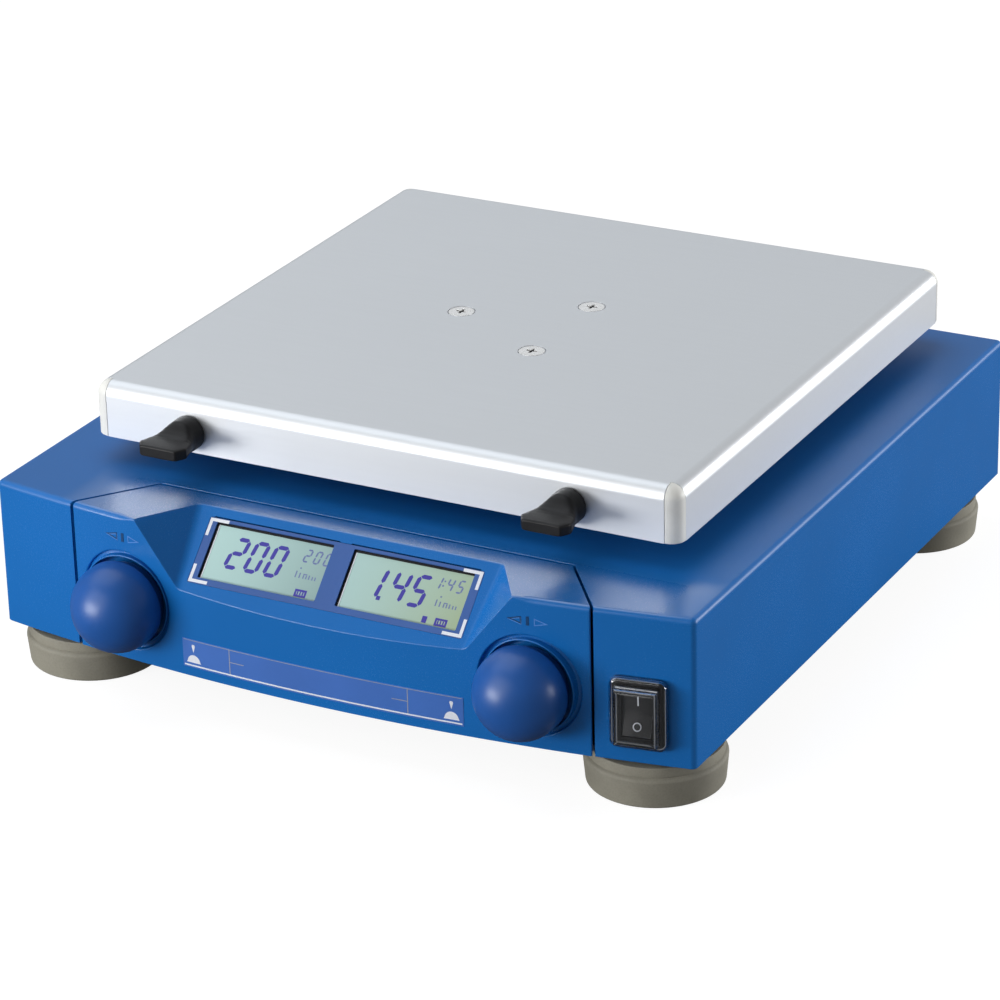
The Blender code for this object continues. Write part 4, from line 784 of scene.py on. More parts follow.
SWITCH_X, SWITCH_Z = 116.355, 18.85
INLET_X, INLET_Z = 78.0, 26.0
ROCKER_TILT = math.radians(8)
ROCKER_SUNK = 0.6
on_switch = outward_frame(SWITCH_X, float(face_y(SWITCH_X)), SWITCH_Z,
                          math.atan(2 * BOW * SWITCH_X / HALF_WIDTH ** 2))
on_inlet = outward_frame(INLET_X, HALF_DEPTH, INLET_Z, math.pi)


def on_rocker(points):
    """(across, up, out) on the rocker, tilted about its pivot with its upper half pressed in."""
    a, b, out = np.asarray(points, float).T
    c, s = math.cos(ROCKER_TILT), math.sin(ROCKER_TILT)
    return on_switch(np.column_stack([a, b * c + out * s, out * c - b * s - ROCKER_SUNK]))


def on_top(x, y, z):
    """Maps (x, y, up) about a place on a level face."""
    return lambda points: np.asarray(points, float) + np.array([x, y, z])


# Housing

def seam_x(y, offset=0.0):
    """Half the console's width along the seam, at y, moved outwards."""
    run = np.clip(np.asarray(y, float), SEAM_FRONT_Y, None) - SEAM_FRONT_Y
    return SEAM_FRONT_X - run * SEAM_SLANT + offset


def plan(inset, steps=96):
    """The housing's plan with its bowed front, moved inwards."""
    half = HALF_WIDTH - inset
    x = np.linspace(-half, half, steps + 1)
    front = np.column_stack([x, face_y(x) + inset])
    return np.vstack([front, [(half, HALF_DEPTH - inset), (-half, HALF_DEPTH - inset)]])


def cover_pieces(size):
    """The moulded cover: a bowed box with a rounded top edge, hollowed, cut for the console, the hub, the
    switch and the inlet, its seam edges eased."""
    foot_ease, wall, past = 0.25, 3.0, 8
    top = rim(TOP_Z, size.edge, steps=6)
    rings = [(foot_ease, 0.0), (0.0, foot_ease)] + top + [(size.edge + 1.5, TOP_Z)]
    outline = np.delete(plan(0), [1, 95], axis=0)
    radii = np.zeros(len(outline))
    radii[[0, 94, 95, 96]] = size.corner
    cover = slab("cover_shell", outline, rings, radius=radii)
    hollow = slab("hollow", plan(wall, 48), [(0, -past), (0, TOP_Z - wall)])
    seam = size.seam
    back = SEAM_BACK_Y + seam
    front = FRONT_Y - BOW - past
    bend = SEAM_FRONT_X + seam
    right = [(bend, front), (bend, SEAM_FRONT_Y), (float(seam_x(back, seam)), back)]
    notch = slab("notch", right + [(-x, y) for x, y in reversed(right)], [(0, -past), (0, TOP_Z + past)])
    opening = turned("opening", [(0, 40), (23, 40), (23, 60), (0, 60)], on_top(0, HUB_Y, 0))
    switch = slab("switch_hole", rectangle(14.2, 20.8), [(0, -past), (0, past)], on_switch, 0.4)
    inlet = slab("inlet_hole", rectangle(27.6, 31.6), [(0, -past), (0, past)], on_inlet, 0.4)
    carve(cover, hollow, notch, opening, switch, inlet)

    def at_seam(points):
        x, y, z = points.T
        side = np.abs(np.abs(x) - seam_x(y, seam)) < 0.02
        behind = (np.abs(y - back) < 0.02) & (np.abs(x) < SEAM_BACK_X + 2)
        return (side & (y < back + 0.02)) | behind

    ease(cover, at_seam, size.seam_edge, 3)
    hand_over(cover, moulded_blue(), "base", "housing_cover")
    profile = [(23, 52.5), (23, 56.3), (23.1, 56.6), (23.4, 56.8), (25.5, 56.8), (25.85, 56.65), (26, 56.3),
               (26, 54.6), (26.4, 54.3), (26.4, 52.5)]
    collar = turned("hub_collar", profile, on_top(0, HUB_Y, 0), ring=True)
    hand_over(collar, moulded_blue(), "base")


# Console

def lift(reach, radius):
    """Height over the display's floor at a distance beyond its side: zero, then the hollow arc that
    touches both surfaces, then the flare's straight slope."""
    tangent = radius * math.tan(FLARE_ANGLE / 2)
    along = np.clip(reach + tangent, 0, radius * math.sin(FLARE_ANGLE))
    curve = radius - np.sqrt(radius ** 2 - along ** 2)
    straight_part = np.clip(reach - tangent * math.cos(FLARE_ANGLE), 0, None) * math.tan(FLARE_ANGLE)
    return curve + straight_part


def console_grid(size, front_x, inset, top_rows):
    """One skin of the console as a grid [rows, columns, 3].

    Each column is a section of the console: up the bowed front, round the crease at the sloping floor's
    lower edge, up the slope at the column's lift over the floor, round the crease at its upper edge, and
    back along the top. A crease's centre is where the two lines meet once both are moved inwards by its
    radius. Where the slope has risen past the top edge the two centres fall together, and the section is
    the plain rounded corner. The columns fan out with the display's taper and end on the seam.
    """
    sine, cosine = math.sin(DISPLAY_ANGLE), math.cos(DISPLAY_ANGLE)
    taper = 3.5 / 34.5
    top_half = 59.0
    x = np.abs(front_x)
    wall = face_y(x)
    reach = x - top_half
    for _ in range(12):
        rise = lift(reach, size.fillet)
        along = np.minimum((wall - DISPLAY_Y) / cosine + rise * math.tan(DISPLAY_ANGLE), 0)
        reach = x - top_half - taper * along
    limit = size.crease + cosine * (-size.crease - (wall + size.crease - DISPLAY_Y) * sine / cosine)
    past = rise >= limit
    edge_x = x[past].min()
    blend = np.clip((x - edge_x) / 7.0, 0, 1)
    radius = size.crease + (size.edge - size.crease) * blend ** 2 * (3 - 2 * blend)
    inset = np.broadcast_to(inset, x.shape)
    radius = np.maximum(radius, inset + 0.3)
    limit = radius + cosine * (-radius - (wall + radius - DISPLAY_Y) * sine / cosine)
    level = np.minimum(rise, limit)
    small = radius - inset
    low_y = wall + radius
    low_z = TOP_Z + (low_y - DISPLAY_Y) * sine / cosine + (level - radius) / cosine
    high_z = TOP_Z - radius
    high_y = DISPLAY_Y + (-radius - (level - radius) / cosine) * cosine / sine
    past = rise >= limit
    start = top_half - size.fillet * math.tan(FLARE_ANGLE / 2)
    floor_edge = x - reach - (top_half - start)
    upper_x = np.where(x < floor_edge, x * start / floor_edge,
                       np.where(past, x, top_half + reach - taper * level * cosine / sine))
    back_y = SEAM_BACK_Y - size.seam
    last_x = SEAM_FRONT_X - size.seam
    back_last = float(seam_x(back_y, -size.seam))
    floor_last = floor_edge[np.argmin(np.abs(x - floor_edge))]
    spread = (back_last - start) * (x - floor_last) / (last_x - floor_last)
    back_x = np.where(x < floor_edge, upper_x, start + spread)
    slant = (x - back_x) / (back_y - SEAM_FRONT_Y)
    crease = 90 + math.degrees(DISPLAY_ANGLE)
    rows_y, rows_z, rows_x = [], [], []

    def add(y, z, column_x):
        y = np.broadcast_to(y, x.shape)
        shifted = x - np.clip(y - SEAM_FRONT_Y, 0, None) * slant
        rows_y.append(y)
        rows_z.append(np.broadcast_to(z, x.shape))
        rows_x.append(np.where(past, shifted, column_x))

    for height in (0.0, 6.0, 14.0, 22.0):
        add(wall + inset, np.minimum(height, low_z), x)
    for turn in np.radians(np.linspace(180, crease, 6)):
        add(low_y + small * math.cos(turn), low_z + small * math.sin(turn), x)
    for turn in np.radians(np.linspace(crease, 90, 6)):
        add(high_y + small * math.cos(turn), high_z + small * math.sin(turn), upper_x)
    for y, drop in top_rows:
        share = (y - high_y) / (back_y - high_y)
        add(y, TOP_Z - inset - drop, upper_x + (back_x - upper_x) * share)
    return np.stack([np.sign(front_x) * np.stack(rows_x), np.stack(rows_y), np.stack(rows_z)], axis=-1)


def console_piece(size):
    """The console panel: the outer skin and the inner one, joined by strips along their four borders."""
    last = SEAM_FRONT_X - size.seam
    ease_steps = np.radians([0, 30, 60, 90])
    border = last - size.seam_edge * (1 - np.sin(ease_steps))
    main = np.concatenate([np.arange(2.0, 52.0, 2.0), np.arange(52.0, 60.0, 0.4), np.arange(60.0, 69.0, 1.0),
                           np.arange(69.0, 80.0, 0.5), np.arange(80.0, 98.5, 1.25)])
    half = np.concatenate([main[main < border[0] - 0.3], border])
    drops = np.concatenate([np.zeros(len(half) - 4), size.seam_edge * (1 - np.cos(ease_steps))])
    front_x = np.concatenate([-half[::-1], [1e-6], half])
    inset = np.concatenate([drops[::-1], [0], drops])
    back = SEAM_BACK_Y - size.seam
    eased = [(back - size.seam_edge * (1 - math.sin(a)), size.seam_edge * (1 - math.cos(a)))
             for a in ease_steps]
    outer = console_grid(size, front_x, inset, eased)
    inner = console_grid(size, front_x, size.wall, [(back - 0.02, 0.0)] * 3 + [(back, 0.0)])
    rows, columns = outer.shape[:2]
    grid = np.concatenate([outer, inner[::-1]])
    index = np.arange(2 * rows * columns).reshape(2 * rows, columns)
    partner = index[::-1]
    strips = [quads(np.column_stack([index[:rows, c], partner[:rows, c]])) for c in (0, columns - 1)]
    faces = np.vstack([quads(np.vstack([index, index[:1]])), *strips])
    return add_mesh("console_shell", grid, faces.tolist())


def console_pieces(size):
    """The console panel with its round holes, film pocket and cell openings."""
    console = console_piece(size)
    clear, seat = 0.2, -0.3
    cutters = [turned("dish_hole", [(0, -9), (size.dish, -9), (size.dish, 9), (0, 9)],
                      on_knob(sign * KNOB_X), 128) for sign in SIDES.values()]
    pocket = rectangle(FILM_WIDTH + clear, FILM_LENGTH + clear, (0, FILM_MIDDLE))
    cutters.append(slab("film_pocket", pocket, [(0, -0.9), (0, 6)], on_display, 1.0))
    cutters += [slab("cell_hole", rectangle(49.6, 24.5, (sign * CELL_X, CELL_MIDDLE)), [(0, -5), (0, 3)],
                     on_display, 0.3) for sign in SIDES.values()]
    carve(console, *cutters)
    hand_over(console, moulded_blue(), "base", "console_panel")
    tone = colours().housing
    for side, sign in SIDES.items():
        hand_over(knob_dish(size, side, sign * KNOB_X), moulded_blue(), "base")
        # Dark and light copies of the marks: painted shade and painted highlight on their relief.
        bar, dark, light = knob_marks(sign * KNOB_X)
        marks = plates("turn_marks_" + side, [bar], on_face, seat, 0.14, [dark])
        hand_over(marks, mark_blue("mark_dark_" + side, shade(tone, 0.30)), "base")
        # The light outlines: painted highlight along the marks' lower edges.
        edges = plates("turn_edges_" + side, [], on_face, seat, 0.10, light)
        painted_highlight_blue = tuple(0.07 + 1.1 * part for part in tone)
        hand_over(edges, mark_blue("mark_light_" + side, painted_highlight_blue), "base")


def mark_blue(name, base):
    """The raised marks over the knobs: the housing's blue, painted darker for shade and lighter for highlight
    on their relief.
    """
    made = Finish(name, base, 0.35)
    grain = made.noise(2600.0, 2.0)
    made.feed("Base Color", made.mix(grain.between(0.3, 0.7), base, shade(base, 1.3)))
    return made.bump(grain, 0.08, 0.00006).material


def knob_marks(x):
    """A bar between two open triangles that point away from it: the bar's outline and a dark triangle,
    painted shade, and the light ones, painted highlight, that show at its lower edge and at the bar's right."""
    left = np.array([(x - 2.3, 44.9), (x - 2.3, 47.6), (x - 7.2, 46.4)])
    right = np.array([(x + 2.3, 47.4), (x + 2.3, 44.7), (x + 7.2, 45.9)])
    low = left + np.array([0.15, -0.32])
    bar = box_outline(x - 0.5, 44.6, x + 0.5, 47.8)
    return bar, hoop(left, 0.36), [hoop(low, 0.3), hoop(right, 0.3)]


def knob_dish(size, side, x):
    """The ring round a knob: flush with the bowed face outside, a rounded lip, a groove, a collar whose
    level rim stands square to the knob's axis, and a flat floor. Each row has a radius, a share of the
    way from the face to the floor, and a depth; y is the face's or the floor's, mixed by that share."""
    below, stands_out, rim_radius, bore, floor_wall = 4.0, 0.3, 0.32, 4.8, 2.0
    floor_y = float(face_y(KNOB_X)) + below
    lip, radius, mouth, collar = size.lip, size.dish, 18.3, 16.95
    rows = [(radius, 0, 3.0), (radius, 0, 0.0), (radius - 0.3, 0, 0.0)]
    rows += [(mouth + lip - lip * math.sin(a), 0, lip * (1 - math.cos(a)))
             for a in np.radians(np.arange(0, 75, 12))]
    rows += [(mouth - 0.15, 0.1, 0.9), (mouth - 0.4, 0.2, 0.6), (collar + 0.1, 0.4, -0.3),
             (collar, 0.5, -1.0)]
    rows += [(collar - rim_radius * (1 - math.cos(a)), 1, -below - stands_out - rim_radius * math.sin(a))
             for a in np.radians(np.arange(0, 181, 22.5))]
    rows += [(collar - 0.7, 1, -0.3), (collar - 0.9, 1, 0.0), (10.0, 1, 0.0), (bore, 1, 0.0),
             (bore, 1, floor_wall), (12.0, 1, floor_wall)]
    turn = np.linspace(0, 2 * math.pi, 128, endpoint=False)
    ring, share, depth = (np.array(column)[:, None] for column in zip(*rows))
    across = x + ring * np.cos(turn)
    up = np.broadcast_to(KNOB_Z + ring * np.sin(turn), across.shape)
    y = (1 - share) * face_y(across) + share * floor_y + depth
    return skin("knob_dish_" + side, np.stack([across, y, up], axis=-1), ring=True)


# Display and label

SEGMENTS = {"0": "abcdef", "1": "bc", "2": "abged", "4": "fgbc", "5": "afgcd"}
LEAN = math.tan(math.radians(10))


def digit(character, left, base, height, weight):
    """Outlines of one seven-segment character: bars with pointed ends, leaning by ten degrees."""
    width, t, gap = 0.50 * height, weight, 0.10 * weight
    middle = height / 2

    def level(y):
        a, b = t / 2 + gap, width - t / 2 - gap
        return [(a, y), (a + t / 2, y - t / 2), (b - t / 2, y - t / 2), (b, y), (b - t / 2, y + t / 2),
                (a + t / 2, y + t / 2)]

    def upright(x, low, high):
        low, high = low + gap, high - gap
        return [(x, low), (x + t / 2, low + t / 2), (x + t / 2, high - t / 2), (x, high),
                (x - t / 2, high - t / 2), (x - t / 2, low + t / 2)]

    bars = {
        "a": level(height - t / 2), "g": level(middle), "d": level(t / 2),
        "f": upright(t / 2, middle, height - t / 2), "b": upright(width - t / 2, middle, height - t / 2),
        "e": upright(t / 2, t / 2, middle), "c": upright(width - t / 2, t / 2, middle),
    }
    return [np.array([(left + x + y * LEAN, base + y) for x, y in bars[name]])
            for name in SEGMENTS[character]]


def number(text, left, base, height, weight, pitch):
    """A row of seven-segment characters; a point or colon takes a sixth of a place."""
    outlines, x = [], left
    for character in text:
        if character in ".:":
            for y in ((0.0,) if character == "." else (0.28 * height, 0.62 * height)):
                dot = x - pitch * 0.22 + y * LEAN
                outlines.append(box_outline(dot, base + y, dot + weight, base + y + weight))
            x += pitch * 0.16
        else:
            outlines += digit(character, x, base, height, weight)
            x += pitch
    return outlines


def box_outline(left, bottom, right, top):
    """The corners of a box between two limits each way."""
    return np.array([(left, bottom), (right, bottom), (right, top), (left, top)])


def bracket(corner_x, corner_y, across, down, arm_x, arm_y, stroke):
    """A corner bracket: two arms from a corner, towards across (+1 right) and down (-1 down the slope)."""
    points = [(0, 0), (arm_x, 0), (arm_x, stroke), (stroke, stroke), (stroke, arm_y), (0, arm_y)]
    outline = np.array([(corner_x + across * x, corner_y + down * y) for x, y in points])
    return outline if across * down > 0 else outline[::-1]


def display_pieces(size):
    """The printed film with its windows and brackets, the two cells and what they show."""
    film = slab("film_plate", rectangle(FILM_WIDTH, FILM_LENGTH, (0, FILM_MIDDLE)),
                pillow(-size.film, 0.0, 0.12, steps=2), on_display, 1.0)
    windows = [slab("window", rectangle(46.2, 21.1, (sign * CELL_X, CELL_MIDDLE)), [(0, -4), (0, 4)],
                    on_display, 0.5) for sign in SIDES.values()]
    carve(film, *windows)
    hand_over(film, film_print(), "base", "display_film")
    brackets = [bracket(sx * 53.0, v, -sx, sv, 7.4, 6.6, 1.15)
                for sx in (-1, 1) for v, sv in ((-4.2, -1), (-28.2, 1))]
    printed = plates("film_brackets", brackets, on_display, -0.05, size.print_lift)
    hand_over(printed, plain_ink(), "base")
    tones = colours()
    large_type, small_type = (-20.9, 12.0, 1.5, 7.7), (-13.1, 4.9, 0.6, 3.9)
    shows = {
        "left": (tones.glass_left, shade(tones.glass_left, 0.58),
                 number("200", -42.9, *large_type), number("200", -14.2, *small_type)),
        "right": (shade(tones.glass_left, 0.92), tones.glass_right,
                  number("1.45", 11.4, *large_type), number("1:45", 36.2, *small_type)),
    }
    strokes = ((12.2, 0.5), (13.7, 0.0), (15.2, -0.6), (16.3, -0.6), (17.4, -0.3), (18.7, -0.6),
               (19.8, -0.6))
    glass, sunk, shown_at = -0.9, -0.95, -0.88
    for side, (near, far, large, small) in shows.items():
        x = SIDES[side] * CELL_X
        cell = slab("cell_" + side, rectangle(49.0, 23.9, (x, CELL_MIDDLE)),
                    pillow(-3.5, glass, 0.15, steps=2), on_display, 0.4)
        hand_over(cell, display_glass(side, near, far), "base", "display_cell_" + side)
        icon = box_outline(x + 14.2, -25.6, x + 18.8, -22.8)
        bars = [box_outline(x + left, -24.8, x + left + 0.5, -23.6) for left in (15.2, 16.2, 17.2)]
        if side == "right":
            bars.append(box_outline(x + 9.4, -25.4, x + 11.2, -23.0))
        shown = plates("digits_" + side, large + bars, on_display, sunk, shown_at, [hoop(icon, 0.75)])
        hand_over(shown, digit_ink(), "base")
        units = [box_outline(x + left, -18.9, x + left + 0.45, -17.0 + longer) for left, longer in strokes]
        units += [box_outline(x + 13.2, -15.6, x + 13.8, -15.1),
                  box_outline(x + 15.2, -17.5, x + 16.7, -17.1)]
        faint = plates("small_digits_" + side, small + units, on_display, sunk, shown_at)
        hand_over(faint, faint_digit(), "base")
        # A black strip along the cell's left and top edges: painted shadow of the window's recess.
        gap = [box_outline(x - 24.0, -26.9, x - 22.35, -4.4), box_outline(x - 22.4, -5.95, x + 24.0, -4.4)]
        shadow = plates("cell_gap_" + side, gap, on_display, sunk, -0.80)
        hand_over(shadow, black_plastic(), "base")
        # A white strip along the cell's left edge: painted highlight.
        edge = plates("cell_edge_" + side, [box_outline(x - 22.35, -26.9, x - 21.95, -5.95)], on_display,
                      sunk, -0.82)
        hand_over(edge, plain_ink(), "base")


def band(name, left, right, bottom, top, low, high, columns=48):
    """A strip on the bowed face: a closed section of (height, out) points carried along x."""
    eased = min(0.12, (high - low) / 3)
    section = np.array([(bottom, low), (bottom, high - eased), (bottom + eased, high), (top - eased, high),
                        (top, high - eased), (top, low)])
    x = np.linspace(left, right, columns)
    grid = np.stack([np.column_stack([np.full(len(section), at), section]) for at in x])
    return skin(name, grid, on_face)


def label_pieces(size):
    """The label strip: a violet-blue band with a light border, two dividers and a pictogram at each end."""
    strip = band("label_strip", -54.7, 54.7, 3.3, 14.1, -0.3, LABEL_TOP)
    hand_over(strip, film_print("label_print", 1.45), "base")
    high = LABEL_TOP + size.print_lift
    lower = band("label_line", -54.2, 54.2, 3.9, 4.5, 0.0, high)
    hand_over(lower, plain_ink(), "base")
    fine = [box_outline(-35.5, 4.5, -35.2, 13.9), box_outline(34.0, 4.5, 34.3, 13.9),
            box_outline(-35.2, 8.9, -29.6, 9.15), box_outline(28.2, 8.9, 34.0, 9.15)]
    hand_over(plates("label_dividers", fine, on_face, 0.0, high), faint_ink(), "base")
    border = band("label_border", -54.2, 54.2, 13.6, 13.85, 0.0, high)
    hand_over(border, faint_ink(), "base")
    marks = []
    turn = np.linspace(0.25, math.pi - 0.25, 15)
    for x in (-50.3, 50.3):
        dome = np.vstack([[(x - 2.9, 5.3), (x + 2.9, 5.3)],
                          np.column_stack([x + 2.6 * np.cos(turn), 5.5 + 2.7 * np.sin(turn)])])
        drop = np.array([(x, 9.2), (x + 0.7, 11.6), (x + 0.45, 12.1), (x - 0.45, 12.1), (x - 0.7, 11.6)])
        marks += [dome, drop]
    hand_over(plates("push_marks", marks, on_face, 0.0, high), plain_ink(), "base")


# Knobs, switch and inlet

def knob_pieces(size):
    """Domed knobs: half an ellipsoid over a short straight skirt with a rounded lower edge, on a narrower
    neck, bored from behind for the shaft."""
    back = float(face_y(KNOB_X)) + 2.5
    rise, high = 9.1, 15.2
    r = size.knob
    bore_and_neck = [(0.0, 12.0), (3.3, 12.0), (3.3, 0.2), (r - 2.6, 0.2), (r - 2.6, 4.9)]
    skirt = [(r - 1.2, 5.0), (r - 0.5, 5.15), (r - 0.15, 5.5), (r, 6.2)]
    dome = arc((0, 0), 1, 0, 88, 32) * (r, high) + (0, rise)
    profile = np.vstack([bore_and_neck, skirt, dome, [(0.0, rise + high)]])
    for side, sign in SIDES.items():
        piece = turned("dome_" + side, profile, outward_frame(sign * KNOB_X, back, KNOB_Z), 128)
        hand_over(piece, knob_blue(), "dial_" + side, "knob_" + side)


def switch_pieces(size):
    """The switch's bezel with its well, the rocker with its two marks, and the clear cover over both."""
    body = slab("switch_bezel", rectangle(19.2, 24.6), pillow(0.3, 1.0, 0.3), on_switch, 2.4)
    raised = slab("switch_frame", rectangle(15.8, 22.0), [(0.0, 0.5), (0.0, 1.5)] + rim(2.1, 0.4),
                  on_switch, 1.2)
    block = slab("switch_block", rectangle(13.4, 20.0), [(0, -13.9), (0, 1.1)], on_switch, 0.6)
    carve(body, raised, block, operation="UNION")
    carve(body, slab("well", rectangle(11.6, 17.6), [(0, -4.9), (0, 6)], on_switch, 0.5))
    hand_over(body, black_plastic(), "base", "switch_body")
    side_view = np.array([(8.0, 3.3), (7.75, 3.6), (4.5, 2.8), (1.2, 2.35), (0, 2.3), (-1.2, 2.35),
                          (-4.5, 2.8), (-7.75, 3.6), (-8.0, 3.3), (-8.0, -1.5), (-4.0, -3.5), (4.0, -3.5),
                          (8.0, -1.5)])
    rocker = slab("rocker_key", side_view[::-1], pillow(-5.1, 5.1, 0.4, steps=3),
                  lambda points: on_rocker(points[:, [2, 0, 1]]))
    hand_over(rocker, rocker_plastic(), "switch_rocker", "rocker")

    def on_key(points):
        """(across, up, out) on the rocker's dished front."""
        rise = 2.3 + 1.3 * (np.abs(points[:, 1]) / 7.9) ** 1.1
        return on_rocker(points + rise[:, None] * np.array([0, 0, 1]))

    stroke = box_outline(-0.22, 2.6, 0.22, 5.9)
    ring = arc((0, -4.6), 1.5, 0, 360, 40)[:-1]
    marks = plates("rocker_marks", [stroke], on_key, -0.1, 0.07, [hoop(ring, 0.38)])
    hand_over(marks, plain_ink(), "switch_rocker")
    shoulder, crown, dome_inset = 3.3, 7.3, 2.5

    def rings(wall):
        """Rings of one skin of the cover: up the skirt, in over its shoulder, up the dome and its edge."""
        foot = dome_inset + wall
        skirt = rim(shoulder - wall, 1.7 - wall * 0.6, wall, 5)
        step_in = [(foot - 0.35, shoulder - wall), (foot - 0.1, 3.4 - wall), (foot, 3.7 - wall)]
        dome = rim(crown - wall, 2.2 - wall * 0.6, foot, 6)
        return [(wall, 0.3), *skirt, *step_in, *dome, (foot + 2.5, crown - wall)]

    clear = slab("clear_cover", rectangle(20.2, 25.6), rings(size.skin)[::-1] + rings(0.0), on_switch, 3.0, 8)
    hand_over(clear, clear_silicone(), "base", "switch_cover")


def inlet_pieces():
    """The mains inlet: flange and block, a socket with two chamfered corners, three blades; and the fuse
    drawer with its finger grip."""
    inlet = slab("inlet_flange", rectangle(31.0, 35.0), pillow(0.3, 1.8, 0.45), on_inlet, 3.0)
    block = slab("inlet_block", rectangle(27.0, 31.0), [(0, -18.9), (0, 1.0)], on_inlet, 0.5)
    carve(inlet, block, operation="UNION")
    socket = [(-11.5, -2.25), (11.5, -2.25), (11.5, 9.75), (7.0, 14.25), (-7.0, 14.25), (-11.5, 9.75)]
    hole = slab("socket", socket, [(0, -15), (0, 6)], on_inlet, 0.8)
    slot = slab("drawer_slot", rectangle(22.6, 8.1, (0, -10.5)), [(0, -14.5), (0, 6)], on_inlet, 0.4)
    carve(inlet, hole, slot)
    hand_over(inlet, black_plastic(), "base", "mains_inlet")
    for index, (x, z) in enumerate(((-7, 5), (0, 7), (7, 5)), 1):
        blade = slab("inlet_blade_" + str(index), rectangle(2.0, 4.0, (x, z)),
                     [(0, -15.5), (0, -4.3), (0.35, -3.3), (0.7, -3.0)], on_inlet, 0.5)
        hand_over(blade, screw_steel(), "base")
    drawer = slab("drawer_front", rectangle(22.0, 7.5, (0, -10.5)), pillow(-14.2, 1.8, 0.3, steps=3),
                  on_inlet, 0.5)
    carve(drawer, slab("grip", rectangle(11.0, 4.0, (0, -14.4)), [(0, 0.3), (0, 4)], on_inlet, 0.6))
    hand_over(drawer, black_plastic(), "fuse_holder", "fuse_drawer")


# Feet and base

FOOT_PLACES = {"front_left": (-111.0, -115.0), "front_right": (111.0, -115.0),
               "rear_left": (-111.0, 107.3), "rear_right": (111.0, 107.3)}


def feet_pieces(size):
    """Rubber feet: a puck with a round shoulder and a fine lip, a collar band, a neck and a bore, in
    heights over its sole; and the bolts that hold them, in heights over the housing's lower edge."""
    r = size.foot
    puck = np.vstack([
        [(2.8, 7), (7.5, 7), (7.5, 0.6), (8.1, 0), (r - 4.2, 0), (r - 4.0, 0.25), (r - 3.2, 0.25),
         (r - 3.0, 0), (r - 1.7, 0)],
        arc((r - 1.7, 0.9), 0.9, -90, -5, 4)[1:],
        arc((r - 1.6, 9.5), 1.6, 0, 68, 6),
        [(r - 1.2, 11.1), (r - 1.3, 11.25), (r - 1.05, 11.45), (r - 0.95, 11.8), (r - 0.95, 14.5),
         (r - 1.1, 14.85), (r - 1.5, 15.0), (r - 4.5, 15.0), (r - 4.5, 16.3), (2.8, 16.3)],
    ])
    head_low = -12.9
    bolt = [(0, 20), (2.2, 20), (2.5, 19.6), (2.5, -9.9), (4.2, -9.9), (4.5, -10.2), (4.5, -12.4),
            (4.1, head_low), (0, head_low)]
    for name, (x, y) in FOOT_PLACES.items():
        foot = turned("rubber_foot_" + name, puck, on_top(x, y, SOLE_Z), 112, ring=True)
        hand_over(foot, foot_rubber(), "base", "foot_" + name)
        screw = turned("foot_bolt_" + name, bolt, on_top(x, y, 0), 48)
        carve(screw, *cross_cutters(2.6, 1.0, head_low, 1.6, on_top(x, y, 0)))
        hand_over(screw, screw_steel(), "base", "foot_screw_" + name)


def cross_cutters(reach, width, level, depth, mapper):
    """Two crossed wedges with narrowing ends, for a cross recess."""
    wedge = [(0.25 * width, level - depth), (0, level + depth)]
    return [slab("cross", rectangle(*sides), wedge, mapper, width * 0.3)
            for sides in ((width, 2 * reach), (2 * reach, width))]


# Tray

def tray_body(size, name, inset, top, bottom):
    """The folded block: a square plan with round corners, its top edge bent down by the bend's radius."""
    outline = rectangle(2 * TRAY_HALF_WIDE, 2 * TRAY_HALF, (TRAY_X, TRAY_Y))
    rings = [(inset, bottom)] + rim(top, size.bend - inset, inset, 10)
    return slab(name, outline, rings, radius=TRAY_CORNER)


def on_clamp(x):
    """Maps (across, up, out) about a clamp screw's axis, from the tray's front skirt outwards."""
    return outward_frame(x, TRAY_Y - TRAY_HALF, CLAMP_Z)


def tray_pieces(size):
    """The tray, one folded sheet that is open at its corners, with its screw and clamp holes and eased
    edges; and the corner pieces."""
    tray = tray_body(size, "tray_sheet", 0, TRAY_TOP, TRAY_BOTTOM)
    hollow = tray_body(size, "hollow", size.sheet, TRAY_TOP - size.sheet, TRAY_BOTTOM - 8)
    reach = 2 * (POST_SIDE + 0.15)
    places = [(TRAY_X + sx * TRAY_HALF_WIDE, TRAY_Y + sy * TRAY_HALF) for sx in (-1, 1) for sy in (-1, 1)]
    corners = [slab("corner", rectangle(reach, reach, centre), [(0, TRAY_BOTTOM - 6), (0, TRAY_TOP + 6)])
               for centre in places]
    carve(tray, hollow, *corners)
    ease(tray, lambda points: np.ones(len(points), bool), 0.22, 2, least=1.1)
    holes = [turned("clamp_hole", [(0, -6), (2.8, -6), (2.8, 6), (0, 6)], on_clamp(sign * CLAMP_X), 40)
             for sign in SIDES.values()]
    sink = [(0, 4), (5.25, 4), (5.25, 0.0), (5.1, -0.15), (5.1, -0.4), (2.8, -2.7), (2.8, -7), (0, -7)]
    holes += [turned("sink", sink, on_top(x, y, TRAY_TOP), 64) for x, y in screw_places()]
    carve(tray, *holes)
    hand_over(tray, blasted_metal(), "table", "tray", sharp=40)
    for end, sy in (("front", -1), ("rear", 1)):
        for side, sx in SIDES.items():
            name = end + "_" + side
            post = corner_post(size, name, sx, sy)
            hand_over(post, post_plastic(), "table", "corner_" + name)


